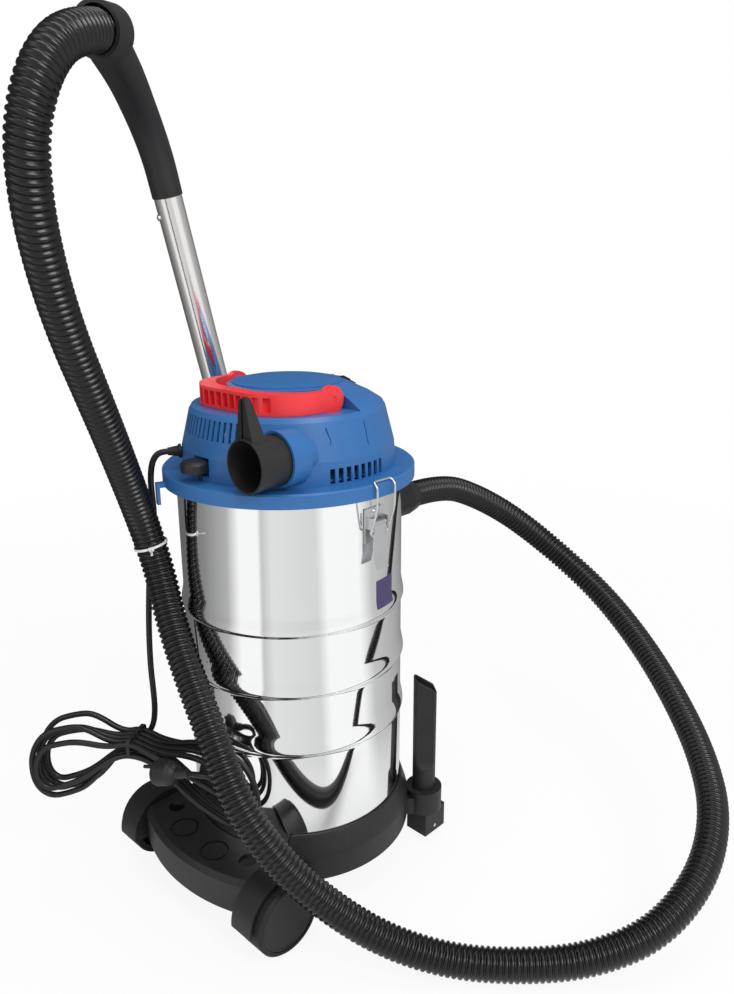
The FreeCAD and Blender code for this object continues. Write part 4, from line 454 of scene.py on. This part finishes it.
bmesh.ops.translate(build, verts=build.verts, vec=(socket.x, socket.y, crevice_low.z))
crevice = new_piece("crevice_moulding", mesh_from(build, "crevice_moulding"), black)
wall = crevice.modifiers.new("wall", "SOLIDIFY")
wall.thickness = CREVICE_WALL
wall.offset = -1
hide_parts("crevice_nozzle")
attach(crevice, "crevice_nozzle")


# Rolling and soft parts.
# The wheels have a hard rubber tread, and the gland, gasket and seal are rubber too. The hose's tie
# is a plain nylon band, and the float a nylon ball.
tread = new_finish("tyre rubber", (0.008, 0.008, 0.008), (0.017, 0.017, 0.017), (0.5, 0.7), grain=(700, 0.00008),
                   mottle=20, dust=((0.3, 0.29, 0.27), 0.08), specular=0.35)
nylon = new_finish("white nylon", (0.78, 0.78, 0.76), (0.88, 0.88, 0.87), (0.35, 0.5), grain=(1500, 0.00001),
                   mottle=60)
finish_nodes(tread, "rear_wheel_left", "rear_wheel_right", "caster_wheel_left", "caster_wheel_right", "cord_gland",
             "inlet_gasket", "drum_seal", "floor_strips")
finish_nodes(nylon, "hose_tie", "float_ball")


# Wand and metal fittings.
# Bright plated steel tube for the wand. The latches are pressed from plated sheet with a wire bail,
# and pins, axles and screws are zinc plated.
plated = new_finish("bright plating", (0.80, 0.785, 0.765), (0.88, 0.87, 0.855), (0.14, 0.20), metal=1.0,
                    grain=(500, 0.000006), mottle=10, stretch=(1, 1, 0.2))
zinc = new_finish("zinc plate", (0.62, 0.63, 0.65), (0.76, 0.77, 0.78), (0.2, 0.34), metal=1.0, grain=(600, 0.00001),
                  mottle=60)
pressed = new_finish("pressed plate", (0.66, 0.665, 0.68), (0.74, 0.745, 0.755), (0.24, 0.30), metal=1.0,
                     grain=(300, 0.000002), mottle=8)
finish_nodes(plated, "wand_upper", "wand_lower")
for side in ("left", "right"):
    finish_nodes(pressed, f"latch_plate_{side}", f"latch_lever_{side}")
    finish_nodes(zinc, f"latch_pin_{side}", f"latch_bail_{side}", f"caster_axle_{side}")
finish_nodes(zinc, "rear_axle", "inlet_screws", "cover_screws", "lock_button", "motor", "motor_fan")


# Label and filter.
# The label is a blank violet film on the drum. The filter cartridge is pleated paper inside.
film = new_finish("violet film", (0.055, 0.038, 0.125), (0.072, 0.052, 0.155), (0.3, 0.4), grain=(900, 0.00001),
                  mottle=30)
paper = new_finish("filter paper", (0.70, 0.67, 0.60), (0.82, 0.79, 0.72), (0.7, 0.85), grain=(500, 0.00006),
                   mottle=40)
finish_nodes(film, "blank_label")
finish_nodes(paper, "filter_cartridge")


# Studio.
# A pale floor that shades into a white surround, and three soft lamps. Seen in the gloss, the world
# and, beyond half a metre, the floor show a ramp of grey by bearing: two bright bands beside the
# camera and dark between them and behind. On the floor this is a painted reflection, a glow no lamp gives.
CAMERA_BEARING = math.degrees(math.atan2(CAMERA_PLACE.y, CAMERA_PLACE.x))
SURROUND = (
    (-180, 0.07), (-128, 0.08), (-96, 0.20), (-66, 0.42), (-52, 1.0), (-33, 1.0), (-30, 0.56), (-20, 0.78), (22, 0.68),
    (32, 1.0), (66, 1.0), (82, 0.55), (122, 0.38), (155, 0.2), (180, 0.07),
)
FLOOR_GREY = 0.9
FLOOR_RADIUS = 9
FLOOR_FADES_FROM, FLOOR_FADES_TO = 0.7, 2.4
MIRROR_FADES_FROM, MIRROR_FADES_TO, MIRROR_SHARE = 0.2, 0.5, 0.92
AROUND_LIGHT = 0.55
LAMPS_AIM = Vector((0, 0, 0.5))
LAMPS = (
    ("key", (-2.4, 0.4, 2.4), 1.5, 42), ("fill", (0.6, 2.6, 1.8), 1.6, 7), ("top", (-0.2, 0.0, 3.2), 2.0, 24),
)


def surround_group():
    """The painted brightness towards each bearing that glossy rays see: bright bands like screens, dark between."""
    group = bpy.data.node_groups.new("surround", "ShaderNodeTree")
    group.interface.new_socket("Way", in_out="INPUT", socket_type="NodeSocketVector")
    group.interface.new_socket("Bright", in_out="OUTPUT", socket_type="NodeSocketColor")
    put = group.nodes.new
    link = group.links.new
    start = put("NodeGroupInput")
    end = put("NodeGroupOutput")
    turn = put("ShaderNodeVectorRotate")
    turn.rotation_type = "Z_AXIS"
    turn.inputs["Angle"].default_value = -math.radians(CAMERA_BEARING)
    link(start.outputs["Way"], turn.inputs["Vector"])
    split = put("ShaderNodeSeparateXYZ")
    link(turn.outputs["Vector"], split.inputs["Vector"])
    bearing = put("ShaderNodeMath")
    bearing.operation = "ARCTAN2"
    link(split.outputs["Y"], bearing.inputs[0])
    link(split.outputs["X"], bearing.inputs[1])
    span = put("ShaderNodeMapRange")
    span.inputs["From Min"].default_value = -math.pi
    span.inputs["From Max"].default_value = math.pi
    link(bearing.outputs["Value"], span.inputs["Value"])
    ramp = put("ShaderNodeValToRGB")
    stops = ramp.color_ramp.elements
    for degrees, _ in SURROUND[1:-1]:
        stops.new((degrees + 180) / 360)
    for stop, (degrees, grey) in zip(stops, SURROUND):
        stop.position = (degrees + 180) / 360
        stop.color = (grey, grey, grey, 1)
    link(span.outputs["Result"], ramp.inputs["Fac"])
    link(ramp.outputs["Color"], end.inputs["Bright"])
    return group


surround = surround_group()


def span_node(tree, value, low, high, from_share=0.0, to_share=1.0):
    """Turns a value between two limits into a share."""
    span = tree.nodes.new("ShaderNodeMapRange")
    span.inputs["From Min"].default_value = low
    span.inputs["From Max"].default_value = high
    span.inputs["To Min"].default_value = from_share
    span.inputs["To Max"].default_value = to_share
    tree.links.new(value, span.inputs["Value"])
    return span.outputs["Result"]


def pair_node(tree, operation, first, second):
    """One number from two."""
    pair = tree.nodes.new("ShaderNodeMath")
    pair.operation = operation
    tree.links.new(first, pair.inputs[0])
    tree.links.new(second, pair.inputs[1])
    return pair.outputs["Value"]


def mixed(tree, share, first, second):
    """One shader from two, by the share of the second."""
    mix = tree.nodes.new("ShaderNodeMixShader")
    tree.links.new(share, mix.inputs["Fac"])
    tree.links.new(first, mix.inputs[1])
    tree.links.new(second, mix.inputs[2])
    return mix.outputs["Shader"]


def surround_seen(tree, way):
    """The surround's brightness towards a direction."""
    room = tree.nodes.new("ShaderNodeGroup")
    room.node_tree = surround
    tree.links.new(way, room.inputs["Way"])
    return room.outputs["Bright"]


floor_white = bpy.data.materials.new("floor white")
floor_white.use_nodes = True
tree = floor_white.node_tree
plain = tree.nodes["Principled BSDF"]
plain.inputs["Base Color"].default_value = (FLOOR_GREY, FLOOR_GREY, FLOOR_GREY, 1)
plain.inputs["Roughness"].default_value = 0.9
place = tree.nodes.new("ShaderNodeTexCoord").outputs["Object"]
distance = tree.nodes.new("ShaderNodeVectorMath")
distance.operation = "LENGTH"
tree.links.new(place, distance.inputs[0])
path = tree.nodes.new("ShaderNodeLightPath")
glow = tree.nodes.new("ShaderNodeEmission")
whiter = span_node(tree, distance.outputs["Value"], FLOOR_FADES_FROM, FLOOR_FADES_TO, from_share=0.9)
seen = mixed(tree, pair_node(tree, "MULTIPLY", path.outputs["Is Camera Ray"], whiter), plain.outputs["BSDF"],
             glow.outputs["Emission"])
# Painted reflection: in glossy rays only, the floor glows with the surround's grey by bearing, so the steel mirrors
# screens and dark room that are not there.
painted_reflection = tree.nodes.new("ShaderNodeEmission")
tree.links.new(surround_seen(tree, place), painted_reflection.inputs["Color"])
far = span_node(tree, distance.outputs["Value"], MIRROR_FADES_FROM, MIRROR_FADES_TO, to_share=MIRROR_SHARE)
in_gloss = pair_node(tree, "MAXIMUM", path.outputs["Is Glossy Ray"], path.outputs["Is Transmission Ray"])
whole = mixed(tree, pair_node(tree, "MULTIPLY", in_gloss, far), seen, painted_reflection.outputs["Emission"])
tree.links.new(whole, tree.nodes["Material Output"].inputs["Surface"])
build = bmesh.new()
bmesh.ops.create_circle(build, cap_ends=True, segments=96, radius=FLOOR_RADIUS)
floor = new_piece("floor", mesh_from(build, "floor"), floor_white, smooth=False)

world = bpy.data.worlds.new("surround")
bpy.context.scene.world = world
world.use_nodes = True
sky = world.node_tree
soft = sky.nodes["Background"]
soft.inputs["Color"].default_value = (1, 1, 1, 1)
soft.inputs["Strength"].default_value = AROUND_LIGHT
path = sky.nodes.new("ShaderNodeLightPath")
place = sky.nodes.new("ShaderNodeTexCoord").outputs["Generated"]
white = sky.nodes.new("ShaderNodeMix")
white.data_type = "RGBA"
white.inputs["B"].default_value = (1, 1, 1, 1)
sky.links.new(path.outputs["Is Camera Ray"], white.inputs["Factor"])
sky.links.new(surround_seen(sky, place), white.inputs["A"])
bright = sky.nodes.new("ShaderNodeBackground")
sky.links.new(white.outputs["Result"], bright.inputs["Color"])
direct = pair_node(sky, "MAXIMUM", path.outputs["Is Camera Ray"], path.outputs["Is Glossy Ray"])
any_way = pair_node(sky, "MAXIMUM", direct, path.outputs["Is Transmission Ray"])
both = mixed(sky, any_way, soft.outputs["Background"], bright.outputs["Background"])
sky.links.new(both, sky.nodes["World Output"].inputs["Surface"])

for name, place, wide, power in LAMPS:
    lamp = bpy.data.lights.new(name, "AREA")
    lamp.shape = "DISK"
    lamp.size = wide
    lamp.energy = power
    holder = bpy.data.objects.new(name, lamp)
    aimed = (LAMPS_AIM - Vector(place)).to_track_quat("-Z", "Y").to_matrix().to_4x4()
    holder.matrix_world = Matrix.Translation(place) @ aimed
    bpy.context.scene.collection.objects.link(holder)
